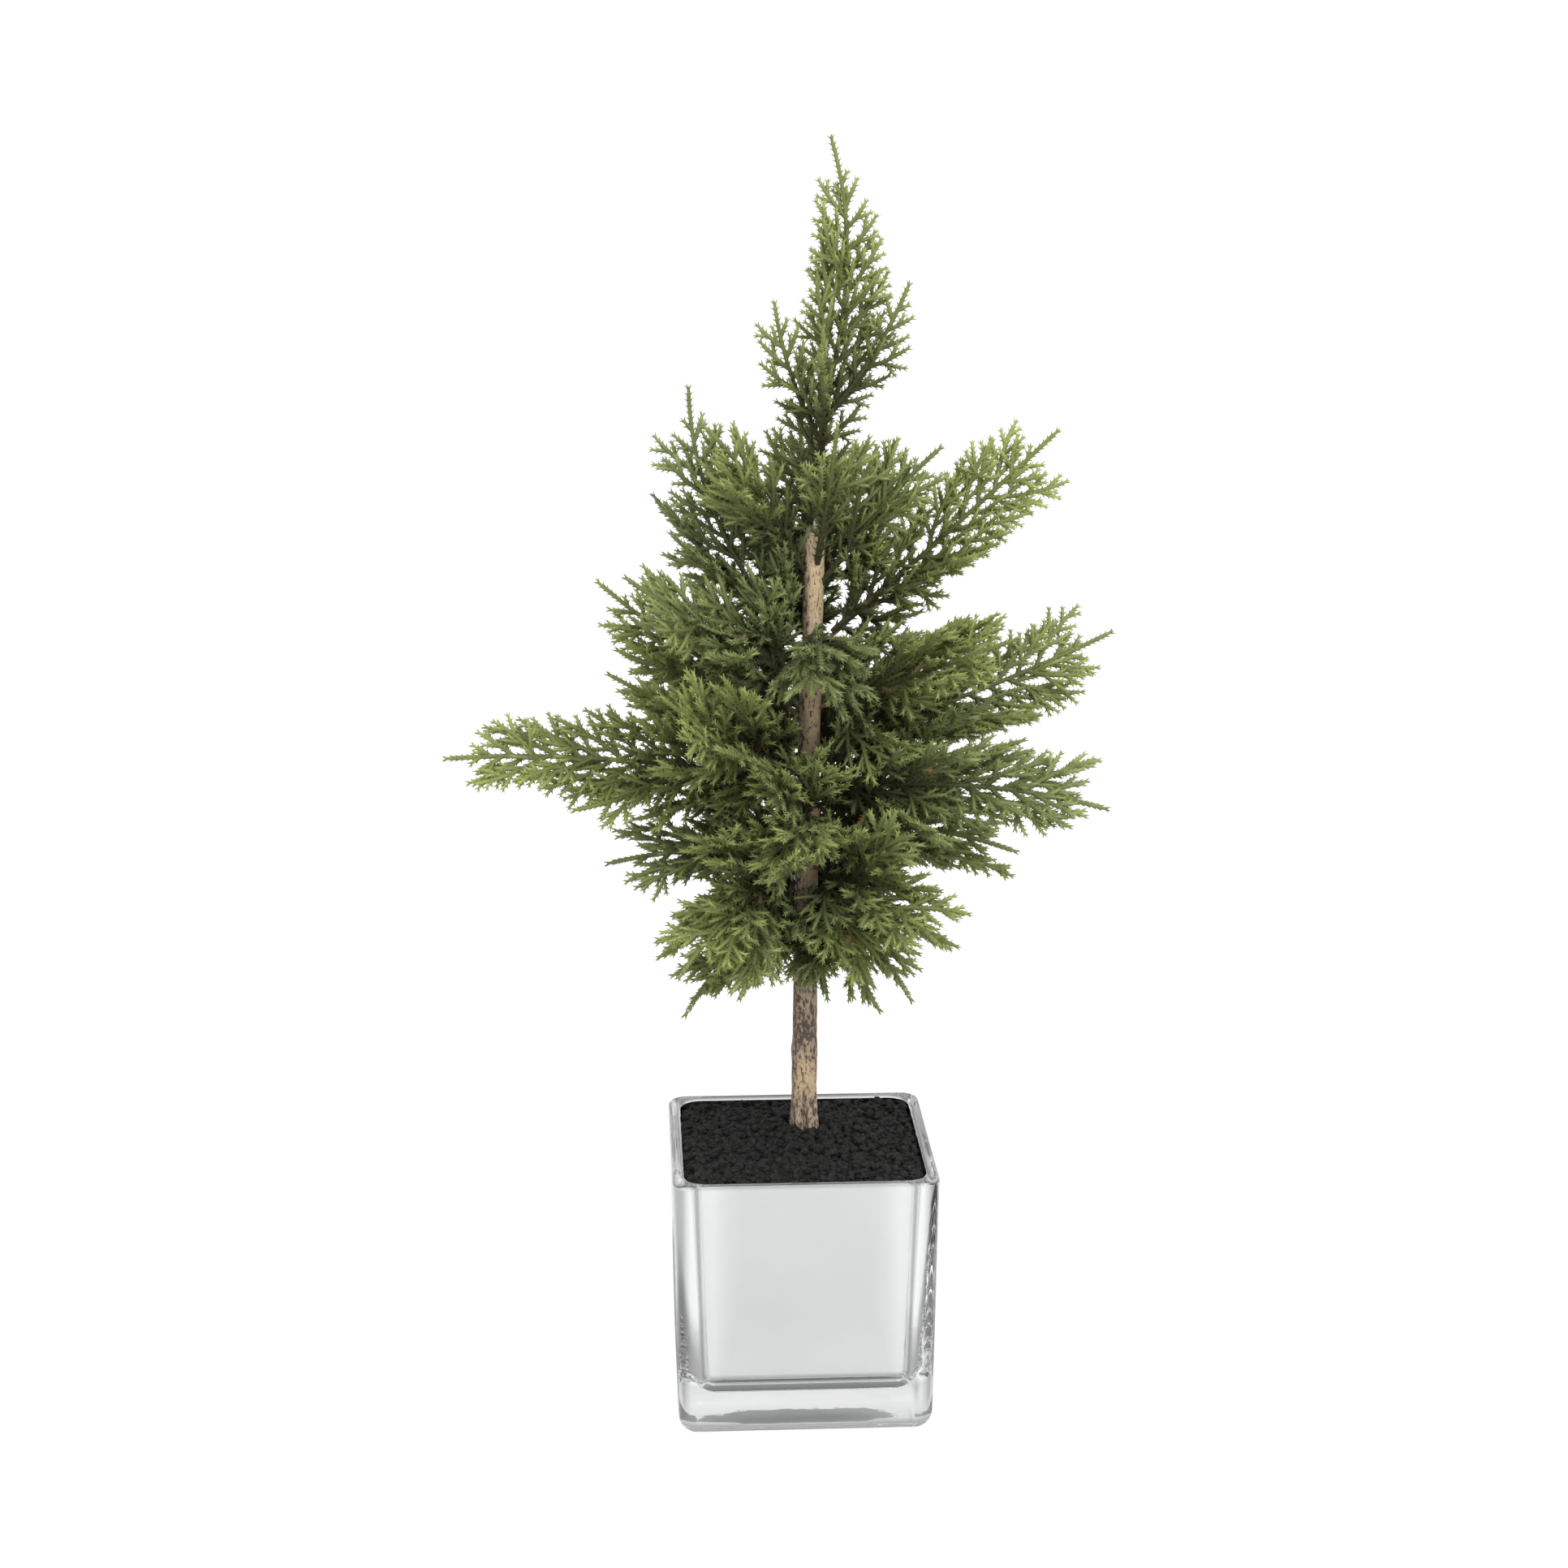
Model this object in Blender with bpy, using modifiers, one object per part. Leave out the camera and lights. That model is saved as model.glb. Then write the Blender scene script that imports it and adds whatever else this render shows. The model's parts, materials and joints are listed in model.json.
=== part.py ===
"""Artificial tabletop conifer standing in a silvered glass cube.

Run with: blender --background --python part.py
Metres, +Z up. The origin is under the middle of the glass cube, on the surface it stands on.
+X is to the tree's right and -Y is its front.
"""

import math

import bmesh
import bpy
from mathutils import Matrix, Vector

MM = 0.001
GAP = 0.3 * MM  # between pieces that touch

# Glass cube: pressed glass with a thick clear base.
POT_WIDTH = 100.0 * MM
POT_HEIGHT = 102.0 * MM
POT_DRAFT = 1.6 * MM  # each wall leans in by this much at the foot
POT_CORNER = 7.0 * MM
RIM_WALL = 3.8 * MM
FOOT_WALL = 6.5 * MM
RIM_EDGE = 1.2 * MM
BASE_THICKNESS = 15.0 * MM
CAVITY_CORNER = 9.0 * MM
LINING_THICKNESS = 0.4 * MM
LINING_BELOW_RIM = 1.0 * MM

# Filling: a cast weight, a foam block and a skin of glued soil.
WEIGHT_HEIGHT = 22.0 * MM
SOIL_THICKNESS = 6.0 * MM
SOIL_BELOW_RIM = 3.5 * MM
SOIL_DOME = 4.0 * MM
SOIL_CELLS = 12

# Trunk: a moulded bark sleeve over a steel rod.
TRUNK_BASE = Vector((2.0, 6.0)) * MM  # where the trunk's axis meets the soil
TRUNK_LEAN = Vector((3.5, -6.0)) * MM  # how far the axis has moved at the top
TRUNK_FOOT_RADIUS = 6.7 * MM
TRUNK_STEM_RADIUS = 5.1 * MM
TRUNK_TOP_RADIUS = 3.8 * MM
TRUNK_FLARE = 28.0 * MM  # height over which the foot narrows
TRUNK_IN_FOAM = 42.0 * MM
BARE_STEM = 66.0 * MM  # soil to the start of the crown
CROWN_STEM = 172.0 * MM  # start of the crown to the trunk's top
ROD_RADIUS = 1.25 * MM
ROD_IN_WEIGHT = 12.0 * MM
ROD_IN_LEADER = 14.0 * MM
TRUNK_RINGS = 16
TRUNK_SMOOTHNESS = 3  # of the curve's bevel
ROD_SMOOTHNESS = 2

# Branches: a moulded spray on a short wire or, on the small sprays, on a peg of its own.
WIRE_RADIUS = 0.8 * MM
WIRE_IN_TRUNK = 1.5 * MM
WIRE_BARE = 4.0 * MM  # wire that shows between trunk and spray
WIRE_IN_SPRAY = 8.0 * MM
WIRE_SWING = 0.5 * MM  # room round the wire in its hole, so that it can bend
SOCKET_CLEARANCE = 0.15 * MM
PEG_BARE = 2.5 * MM
PEG_IN_SPRAY = 4.0 * MM
SPRAY_STEM = 2.3 * MM  # half the spray's stem, before it is rounded
SPRAY_STEM_LENGTH = 12.0 * MM
SPRAY_THICKNESS = 3.0 * MM
SPRAY_STATIONS = 8
SPRAY_STEM_STATIONS = 2

# Each tier: its name, whether its sprays are wired, and the sprays from the right round by the
# back, as (height above the crown's start in mm, azimuth, pitch at the trunk, pitch at the tip,
# roll, length in mm, width in mm). Angles are in degrees. Azimuth 0 is right and 270 is front.
# A spray with roll 0 lies flat. The heights are for a crown stem of TIERS_STEM, and stretch with it.
TIERS_STEM = 172.0
TIERS = [
    ("skirt", False, [
        (26, 40, -12, -45, 0, 62, 32),
        (18, 96, -16, -50, 0, 60, 32),
        (24, 148, -12, -45, 0, 62, 32),
        (20, 212, -12, -58, -10, 60, 30),
        (24, 278, -24, -52, 0, 42, 28),
        (26, 330, -26, -62, 10, 52, 28),
    ]),
    ("low", True, [
        (58, 358, 0, -22, 30, 76, 34),
        (46, 50, 0, -20, 10, 80, 40),
        (42, 110, 0, -20, 0, 80, 40),
        (48, 178, 2, -14, -35, 70, 34),
        (42, 232, -6, -34, -12, 80, 38),
        (64, 262, 6, -26, 0, 58, 32),
        (42, 306, -2, -26, 12, 74, 38),
    ]),
    ("wide", True, [
        (88, 14, 14, 22, 48, 122, 38),
        (80, 68, 12, 4, 10, 106, 44),
        (76, 122, 12, 4, -10, 106, 44),
        (100, 156, 24, 36, -45, 94, 34),
        (74, 184, 12, -2, -45, 133, 44),
        (80, 219, 23, 40, -62, 78, 36),
        (72, 336, 10, -10, 32, 112, 44),
    ]),
    ("upper", True, [
        (128, 356, 42, 44, 62, 116, 40),
        (118, 92, 34, 28, 0, 88, 42),
        (124, 176, 52, 88, -76, 108, 30),
        (114, 205, 29, 37, -46, 84, 30),
        (132, 270, 8, -20, 0, 52, 30),
        (104, 330, 22, 24, 40, 84, 38),
    ]),
    ("crown", False, [
        (152, 342, 54, 42, 62, 66, 32),
        (150, 54, 48, 40, 10, 60, 34),
        (146, 134, 48, 40, -16, 60, 32),
        (156, 194, 62, 44, -66, 66, 30),
        (160, 284, 64, 70, 0, 56, 30),
        (162, 98, 62, 56, 0, 56, 28),
    ]),
]

# The leader's stem, from the trunk's top: sideways from it, and up from it.
LEADER_LINE = [(0, 0), (1.5, 20), (4, 45), (9.5, 75), (11.5, 98), (10, 122), (5.5, 141)]
LEADER_WIDTH = 36.0 * MM
LEADER_STEM = 3.6 * MM  # half its stem, before it is rounded
LEADER_STATIONS = 10
LEADER_GAP = 0.5 * MM  # over the trunk's cut top, and beyond the rod's end
# Its side forks: height on the leader, azimuth, start pitch, end pitch, roll, length, width.
LEADER_FORKS = [
    (30, 184, 60, 82, -70, 54, 24),
    (40, 356, 48, 68, 70, 56, 22),
    (26, 268, 60, 78, 0, 54, 24),
    (32, 88, 60, 76, 0, 54, 24),
]

SOIL_LEVEL = POT_HEIGHT - SOIL_BELOW_RIM  # at the glass
SOIL_TOP = SOIL_LEVEL + SOIL_DOME  # at the middle
TRUNK_TOP = SOIL_TOP + BARE_STEM + CROWN_STEM
CROWN_START = SOIL_TOP + BARE_STEM


# ---------------------------------------------------------------- scene and materials


def clear_scene():
    for obj in list(bpy.data.objects):
        bpy.data.objects.remove(obj, do_unlink=True)


def new_collection(name):
    collection = bpy.data.collections.new(name)
    bpy.context.scene.collection.children.link(collection)
    return collection


def new_material(name, colour, roughness, metallic=0.0, transmission=0.0):
    material = bpy.data.materials.new(name)
    material.use_nodes = True
    shader = material.node_tree.nodes["Principled BSDF"]
    shader.inputs["Base Color"].default_value = (*colour, 1.0)
    shader.inputs["Roughness"].default_value = roughness
    shader.inputs["Metallic"].default_value = metallic
    shader.inputs["Transmission Weight"].default_value = transmission
    return material


def make_materials():
    return {
        "glass": new_material("clear_glass", (0.93, 0.96, 0.95), 0.02, transmission=1.0),
        "silver": new_material("silver_lining", (0.86, 0.86, 0.87), 0.06, metallic=1.0),
        "plaster": new_material("cast_plaster", (0.70, 0.68, 0.64), 0.9),
        "foam": new_material("dry_foam", (0.10, 0.16, 0.09), 0.95),
        "soil": new_material("black_soil", (0.02, 0.02, 0.02), 0.95),
        "bark": new_material("painted_bark", (0.38, 0.28, 0.18), 0.8),
        "steel": new_material("rod_steel", (0.45, 0.45, 0.46), 0.4, metallic=1.0),
        "wire": new_material("wrapped_wire", (0.24, 0.15, 0.08), 0.7),
        "foliage": new_material("moulded_foliage", (0.12, 0.20, 0.06), 0.6),
    }


def add_object(name, mesh, collection, material=None):
    obj = bpy.data.objects.new(name, mesh)
    collection.objects.link(obj)
    if material:
        mesh.materials.append(material)
    return obj


def mesh_from(bm, name):
    bmesh.ops.recalc_face_normals(bm, faces=bm.faces)
    mesh = bpy.data.meshes.new(name)
    bm.to_mesh(mesh)
    bm.free()
    return mesh


def boolean(obj, other, operation):
    modifier = obj.modifiers.new(f"{operation.lower()}_{other.name}", "BOOLEAN")
    modifier.operation = operation
    modifier.object = other
    modifier.solver = "EXACT"


def as_cutter(obj):
    obj.hide_render = True
    obj.display_type = "WIRE"
    return obj


# ---------------------------------------------------------------- glass cube and filling


def cavity_half(height, inset=0.0):
    """Half the cavity's width at a height, for a shape that lies this far inside it."""
    top, foot = POT_WIDTH / 2 - RIM_WALL, POT_WIDTH / 2 - FOOT_WALL
    share = (height - BASE_THICKNESS) / (POT_HEIGHT - BASE_THICKNESS)
    return foot + (top - foot) * share - inset


def drafted_box(name, halves, heights, corner, foot_corner=0.0, top_edge=0.0, open_top=False):
    """A box that narrows to its foot, with rounded upright edges.

    halves and heights are (foot, top). foot_corner rounds the foot and top_edge the rim.
    """
    bm = bmesh.new()
    bmesh.ops.create_cube(bm, size=2.0)
    for vert in bm.verts:
        end = 1 if vert.co.z > 0 else 0
        vert.co = Vector((vert.co.x * halves[end], vert.co.y * halves[end], heights[end]))
    middle = sum(heights) / 2
    if open_top:
        lids = [f for f in bm.faces if f.calc_center_median().z > heights[1] - GAP]
        bmesh.ops.delete(bm, geom=lids, context="FACES_ONLY")

    def bevel(edges, offset, segments):
        bmesh.ops.bevel(bm, geom=edges, offset=offset, segments=segments, profile=0.5,
                        affect="EDGES", material=-1)

    def level_edges(height):
        return [e for e in bm.edges if all(abs(v.co.z - height) < GAP for v in e.verts)]

    upright = [e for e in bm.edges if (e.verts[0].co.z - middle) * (e.verts[1].co.z - middle) < 0]
    if foot_corner == corner:
        bevel(upright + level_edges(heights[0]), corner, 4)
    else:
        bevel(upright, corner, 4)
    if top_edge:
        bevel(level_edges(heights[1]), top_edge, 2)
    return mesh_from(bm, name)


def filling_box(name, foot, top, inset):
    """A drafted box that fills the cavity between two heights, inset from its walls."""
    halves = (cavity_half(foot, inset), cavity_half(top, inset))
    return drafted_box(name, halves, (foot, top), CAVITY_CORNER - inset)


def make_glass(parts, cutters, material):
    outer = drafted_box(
        "glass_cube",
        (POT_WIDTH / 2 - POT_DRAFT, POT_WIDTH / 2),
        (0.0, POT_HEIGHT),
        POT_CORNER,
        foot_corner=POT_CORNER,
        top_edge=RIM_EDGE,
    )
    glass = add_object("glass_cube", outer, parts, material)
    above = POT_HEIGHT + POT_CORNER
    cavity = drafted_box(
        "cavity_cutter",
        (cavity_half(BASE_THICKNESS), cavity_half(above)),
        (BASE_THICKNESS, above),
        CAVITY_CORNER,
        foot_corner=CAVITY_CORNER,
    )
    boolean(glass, as_cutter(add_object("cavity_cutter", cavity, cutters)), "DIFFERENCE")


def make_lining(parts, material):
    foot, top = BASE_THICKNESS + GAP, POT_HEIGHT - LINING_BELOW_RIM
    mesh = drafted_box(
        "mirror_lining",
        (cavity_half(foot, GAP), cavity_half(top, GAP)),
        (foot, top),
        CAVITY_CORNER,
        foot_corner=CAVITY_CORNER,
        open_top=True,
    )
    lining = add_object("mirror_lining", mesh, parts, material)
    solidify = lining.modifiers.new("coat", "SOLIDIFY")
    solidify.thickness = LINING_THICKNESS
    solidify.offset = -1.0


def filling_inset():
    return GAP + LINING_THICKNESS + GAP


def filling_foot():
    """The filling starts above the rounded foot of the lining."""
    return BASE_THICKNESS + filling_inset() + CAVITY_CORNER / 3


def weight_top():
    return filling_foot() + WEIGHT_HEIGHT


def soil_foot():
    return SOIL_LEVEL - SOIL_THICKNESS


def make_weight(parts, cutters, material):
    foot, top, inset = filling_foot(), weight_top(), filling_inset()
    chamfer = CAVITY_CORNER / 2
    halves = (cavity_half(foot, inset), cavity_half(top, inset))
    mesh = drafted_box("plaster_weight", halves, (foot, top), CAVITY_CORNER)
    bm = bmesh.new()
    bm.from_mesh(mesh)
    lowest = [e for e in bm.edges if all(v.co.z < foot + GAP for v in e.verts)]
    bmesh.ops.bevel(bm, geom=lowest, offset=chamfer, segments=2, profile=0.5,
                    affect="EDGES", material=-1)
    bm.to_mesh(mesh)
    bm.free()
    weight = add_object("plaster_weight", mesh, parts, material)
    hole_foot = top - ROD_IN_WEIGHT - GAP
    rod_hole = rod_cutter("weight_hole", ROD_RADIUS + GAP, hole_foot, top + GAP, cutters)
    boolean(weight, rod_hole, "DIFFERENCE")


def make_foam(parts, cutters, material):
    mesh = filling_box("foam_block", weight_top() + GAP, soil_foot() - GAP, filling_inset())
    foam = add_object("foam_block", mesh, parts, material)
    trunk_hole = trunk_cutter("foam_trunk_hole", GAP, trunk_foot() - GAP, SOIL_TOP, cutters)
    rod_hole = rod_cutter("foam_rod_hole", ROD_RADIUS + GAP, weight_top() - GAP, SOIL_LEVEL, cutters)
    boolean(foam, trunk_hole, "DIFFERENCE")
    boolean(foam, rod_hole, "DIFFERENCE")


def soil_height(x, y):
    """The soil is domed at the trunk, and a little uneven."""
    reach = cavity_half(SOIL_LEVEL)
    dome = max(0.0, 1 - (x * x + y * y) / (reach * reach))
    uneven = 0.5 * MM * math.sin(x * 210) * math.cos(y * 260 + 1)
    return SOIL_LEVEL + SOIL_DOME * dome + uneven * dome


def make_soil(parts, cutters, material):
    bm = bmesh.new()
    bmesh.ops.create_grid(bm, x_segments=SOIL_CELLS, y_segments=SOIL_CELLS, size=POT_WIDTH / 2)
    for vert in bm.verts:
        vert.co.z = soil_height(vert.co.x, vert.co.y)
    foot = bmesh.ops.extrude_face_region(bm, geom=list(bm.faces))["geom"]
    for element in foot:
        if isinstance(element, bmesh.types.BMVert):
            element.co.z = soil_foot()
    soil = add_object("soil_layer", mesh_from(bm, "soil_layer"), parts, material)
    below, above = soil_foot() - POT_CORNER, POT_HEIGHT + POT_CORNER
    tool = filling_box("soil_outline", below, above, filling_inset())
    boolean(soil, as_cutter(add_object("soil_outline", tool, cutters)), "INTERSECT")
    hole = trunk_cutter("soil_trunk_hole", GAP, trunk_foot() - GAP, SOIL_TOP + POT_CORNER, cutters)
    boolean(soil, hole, "DIFFERENCE")


# ---------------------------------------------------------------- trunk and rod


def trunk_foot():
    return SOIL_TOP - TRUNK_IN_FOAM


def trunk_axis(height):
    """The trunk's centre line: upright at the soil, leaning more towards the top."""
    share = max(0.0, (height - SOIL_TOP) / (TRUNK_TOP - SOIL_TOP))
    x = TRUNK_BASE.x + TRUNK_LEAN.x * share**2
    y = TRUNK_BASE.y + TRUNK_LEAN.y * share
    return Vector((x, y, height))


def trunk_radius(height):
    """Widest at the soil and below it, then a flared foot, then an even taper."""
    if height < SOIL_TOP:
        return TRUNK_FOOT_RADIUS
    share = (height - SOIL_TOP) / (TRUNK_TOP - SOIL_TOP)
    flare = max(0.0, 1 - (height - SOIL_TOP) / TRUNK_FLARE)
    taper = TRUNK_STEM_RADIUS + (TRUNK_TOP_RADIUS - TRUNK_STEM_RADIUS) * share
    return taper + (TRUNK_FOOT_RADIUS - TRUNK_STEM_RADIUS) * flare**2


def swept_mesh(name, centres, radii, resolution):
    """A closed round tube through these points, made as a bevelled curve and then a mesh."""
    curve = bpy.data.curves.new(name, "CURVE")
    curve.dimensions = "3D"
    curve.bevel_depth = 1.0
    curve.bevel_resolution = resolution
    curve.use_fill_caps = True
    spline = curve.splines.new("POLY")
    spline.points.add(len(centres) - 1)
    for point, centre, radius in zip(spline.points, centres, radii):
        point.co = (*centre, 1.0)
        point.radius = radius
    source = bpy.data.objects.new(name, curve)
    bpy.context.scene.collection.objects.link(source)
    bpy.context.view_layer.update()
    graph = bpy.context.evaluated_depsgraph_get()
    mesh = bpy.data.meshes.new_from_object(source.evaluated_get(graph))
    mesh.name = name
    bpy.data.objects.remove(source)
    bm = bmesh.new()
    bm.from_mesh(mesh)
    bmesh.ops.remove_doubles(bm, verts=bm.verts, dist=0.01 * MM)
    bmesh.ops.recalc_face_normals(bm, faces=bm.faces)
    bm.to_mesh(mesh)
    bm.free()
    return mesh


def heights_between(low, high, count):
    return [low + (high - low) * i / (count - 1) for i in range(count)]


def trunk_heights(low, high):
    """Rings close together in the flare, and even above it."""
    flare_top = SOIL_TOP + TRUNK_FLARE
    inner = [SOIL_TOP, SOIL_TOP + TRUNK_FLARE / 4, SOIL_TOP + TRUNK_FLARE / 2]
    inner += heights_between(flare_top, TRUNK_TOP, TRUNK_RINGS)
    return [low] + [h for h in inner if low + GAP < h < high - GAP] + [high]


def trunk_cutter(name, clearance, low, high, cutters):
    """The trunk's own shape with a clearance round it, for the hole that it stands in."""
    heights = trunk_heights(low, high)
    radii = [trunk_radius(h) + clearance for h in heights]
    mesh = swept_mesh(name, [trunk_axis(h) for h in heights], radii, TRUNK_SMOOTHNESS)
    return as_cutter(add_object(name, mesh, cutters))


def rod_cutter(name, radius, low, high, cutters):
    heights = heights_between(low, high, TRUNK_RINGS)
    mesh = swept_mesh(name, [trunk_axis(h) for h in heights], [radius] * len(heights), ROD_SMOOTHNESS)
    return as_cutter(add_object(name, mesh, cutters))


def make_rod(parts, material):
    low = weight_top() - ROD_IN_WEIGHT
    heights = heights_between(low, TRUNK_TOP, TRUNK_RINGS)
    centres = [trunk_axis(h) for h in heights]
    centres += [leader_point(ROD_IN_LEADER * share) for share in (0.5, 1.0)]
    mesh = swept_mesh("core_rod", centres, [ROD_RADIUS] * len(centres), ROD_SMOOTHNESS)
    add_object("core_rod", mesh, parts, material)


def make_trunk(parts, cutters, branches, material):
    heights = trunk_heights(trunk_foot(), TRUNK_TOP)
    radii = [trunk_radius(h) for h in heights]
    mesh = swept_mesh("trunk", [trunk_axis(h) for h in heights], radii, TRUNK_SMOOTHNESS)
    trunk = add_object("trunk", mesh, parts, material)
    below, above = trunk_foot() - TRUNK_FLARE, TRUNK_TOP + TRUNK_FLARE
    bore = rod_cutter("trunk_bore", ROD_RADIUS + GAP, below, above, cutters)
    boolean(trunk, bore, "DIFFERENCE")
    for branch in branches:
        boolean(trunk, branch.hole, "DIFFERENCE")


# ---------------------------------------------------------------- branches


# A branch is modelled in its own frame: its pivot is the origin, +X points away from the trunk,
# and +Z is up. It then turns to its azimuth with its empty.


def rod_between(name, start, end, radius, sides=8):
    """A straight cylinder from one point to another."""
    bm = bmesh.new()
    line = end - start
    bmesh.ops.create_cone(bm, cap_ends=True, segments=sides, radius1=radius, radius2=radius,
                          depth=line.length)
    turn = line.to_track_quat("Z", "Y").to_matrix().to_4x4()
    bmesh.ops.transform(bm, matrix=Matrix.Translation((start + end) / 2) @ turn, verts=bm.verts)
    return mesh_from(bm, name)


def pitched(degrees):
    return Vector((math.cos(math.radians(degrees)), 0, math.sin(math.radians(degrees))))


def curved_line(start, start_pitch, end_pitch, length):
    """Stations along a spray: a straight stem, then a fan whose pitch changes evenly."""
    fan_steps = SPRAY_STATIONS - SPRAY_STEM_STATIONS
    steps = [SPRAY_STEM_LENGTH / SPRAY_STEM_STATIONS] * SPRAY_STEM_STATIONS
    steps += [(length - SPRAY_STEM_LENGTH) / fan_steps] * fan_steps
    line, directions = [start], []
    for i, step in enumerate(steps):
        share = max(0.0, (i + 0.5 - SPRAY_STEM_STATIONS) / fan_steps)
        directions.append(pitched(start_pitch + (end_pitch - start_pitch) * share))
        line.append(line[-1] + directions[-1] * step)
    directions.append(directions[-1])
    return line, directions


def fan_share(share):
    """A spray's half-width along its fan, as a share of the widest: fullest before the middle."""
    return math.sin(math.pi * (0.1 + 0.88 * share) ** 0.72) ** 0.75


def fan_section(fan, half_width, stem):
    """Half the width and half the thickness of a spray at a place along its fan."""
    if fan <= 0:
        return stem, stem
    return max(stem, half_width * fan_share(fan)), stem + (SPRAY_THICKNESS / 2 - stem) * fan


def spray_mesh(name, line, directions, roll, half_width, stem=SPRAY_STEM):
    """A flat fan on a round stem, from a box that is cut into stations and moved onto its line."""
    last = len(line) - 1
    bm = bmesh.new()
    bmesh.ops.create_cube(bm, size=2.0)
    along = [e for e in bm.edges if abs(e.verts[0].co.x - e.verts[1].co.x) > 1]
    bmesh.ops.subdivide_edges(bm, edges=along, cuts=last - 1, use_grid_fill=True)
    for vert in bm.verts:
        station = round((vert.co.x + 1) / 2 * last)
        fan = (station - SPRAY_STEM_STATIONS) / (last - SPRAY_STEM_STATIONS)
        wide, thick = fan_section(fan, half_width, stem)
        forward = directions[station]
        side = Matrix.Rotation(math.radians(roll), 3, forward) @ Vector((0, -1, 0))
        face = side.cross(forward)
        vert.co = line[station] + side * wide * vert.co.y + face * thick * vert.co.z
    return mesh_from(bm, name)


def round_off(obj):
    rounding = obj.modifiers.new("rounding", "SUBSURF")
    rounding.levels = 1
    rounding.render_levels = 1


def add_pivot(name, place, azimuth, collection):
    """An empty at a joint or a fork, turned so that its +X points along the branch."""
    pivot = bpy.data.objects.new(f"pivot_{name}", None)
    collection.objects.link(pivot)
    pivot.location = place
    pivot.rotation_euler = (0, 0, math.radians(azimuth))
    return pivot


class Branch:
    """One branch: where it leaves the trunk, its wire, the hole for it, and its spray."""

    def __init__(self, tier, number, wired, height, azimuth, pitch, end_pitch, roll, length, width):
        self.name = f"{tier}_{number}"
        self.wired = wired
        self.azimuth, self.pitch, self.end_pitch, self.roll = azimuth, pitch, end_pitch, roll
        self.length = length * MM
        self.width = width * MM
        height = CROWN_START + CROWN_STEM * height / TIERS_STEM
        heading = Matrix.Rotation(math.radians(azimuth), 3, "Z") @ Vector((1, 0, 0))
        # The wire bends where it leaves the bark.
        self.place = trunk_axis(height) + heading * trunk_radius(height)

    def add(self, prefix, mesh, collection, material=None):
        obj = add_object(f"{prefix}_{self.name}", mesh, collection, material)
        obj.parent = self.pivot
        return obj

    def rod(self, prefix, start, end, radius):
        direction = pitched(self.pitch)
        return rod_between(f"{prefix}_{self.name}", direction * start, direction * end, radius)

    def make(self, parts, cutters, materials):
        self.pivot = add_pivot(self.name, self.place, self.azimuth, parts)
        bare = WIRE_BARE if self.wired else PEG_BARE
        start = pitched(self.pitch) * bare
        line, directions = curved_line(start, self.pitch, self.end_pitch, self.length - bare)
        mesh = spray_mesh(f"spray_{self.name}", line, directions, self.roll, self.width / 2)
        spray = self.add("spray", mesh, parts, materials["foliage"])
        round_off(spray)
        if self.wired:
            self.fit_wire(spray, parts, cutters, materials)
        else:
            peg = self.rod("peg", -WIRE_IN_TRUNK, PEG_BARE + PEG_IN_SPRAY, WIRE_RADIUS)
            boolean(spray, as_cutter(self.add("peg", peg, cutters)), "UNION")
        # The hole in the trunk leaves room for a wire's end to swing as it bends.
        clearance = WIRE_SWING if self.wired else GAP
        hole = self.rod("hole", -WIRE_IN_TRUNK - GAP, bare, WIRE_RADIUS + clearance)
        self.hole = as_cutter(self.add("hole", hole, cutters))

    def fit_wire(self, spray, parts, cutters, materials):
        end = WIRE_BARE + WIRE_IN_SPRAY
        wire = self.rod("wire", -WIRE_IN_TRUNK, end, WIRE_RADIUS)
        self.add("wire", wire, parts, materials["wire"])
        socket = self.rod("socket", 0.0, end + GAP, WIRE_RADIUS + SOCKET_CLEARANCE)
        boolean(spray, as_cutter(self.add("socket", socket, cutters)), "DIFFERENCE")


def list_branches():
    branches = []
    for tier, wired, sprays in TIERS:
        for number, spray in enumerate(sprays, 1):
            branches.append(Branch(tier, number, wired, *spray))
    return branches


# ---------------------------------------------------------------- leader


def leader_point(height):
    """A point on the leader's line, this far above the trunk's top."""
    points = [(x * MM, z * MM) for x, z in LEADER_LINE]
    base = trunk_axis(TRUNK_TOP)
    for (x0, z0), (x1, z1) in zip(points, points[1:]):
        if height <= z1:
            share = (height - z0) / (z1 - z0)
            return base + Vector((x0 + (x1 - x0) * share, 0, height))
    return base + Vector((points[-1][0], 0, height))


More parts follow.
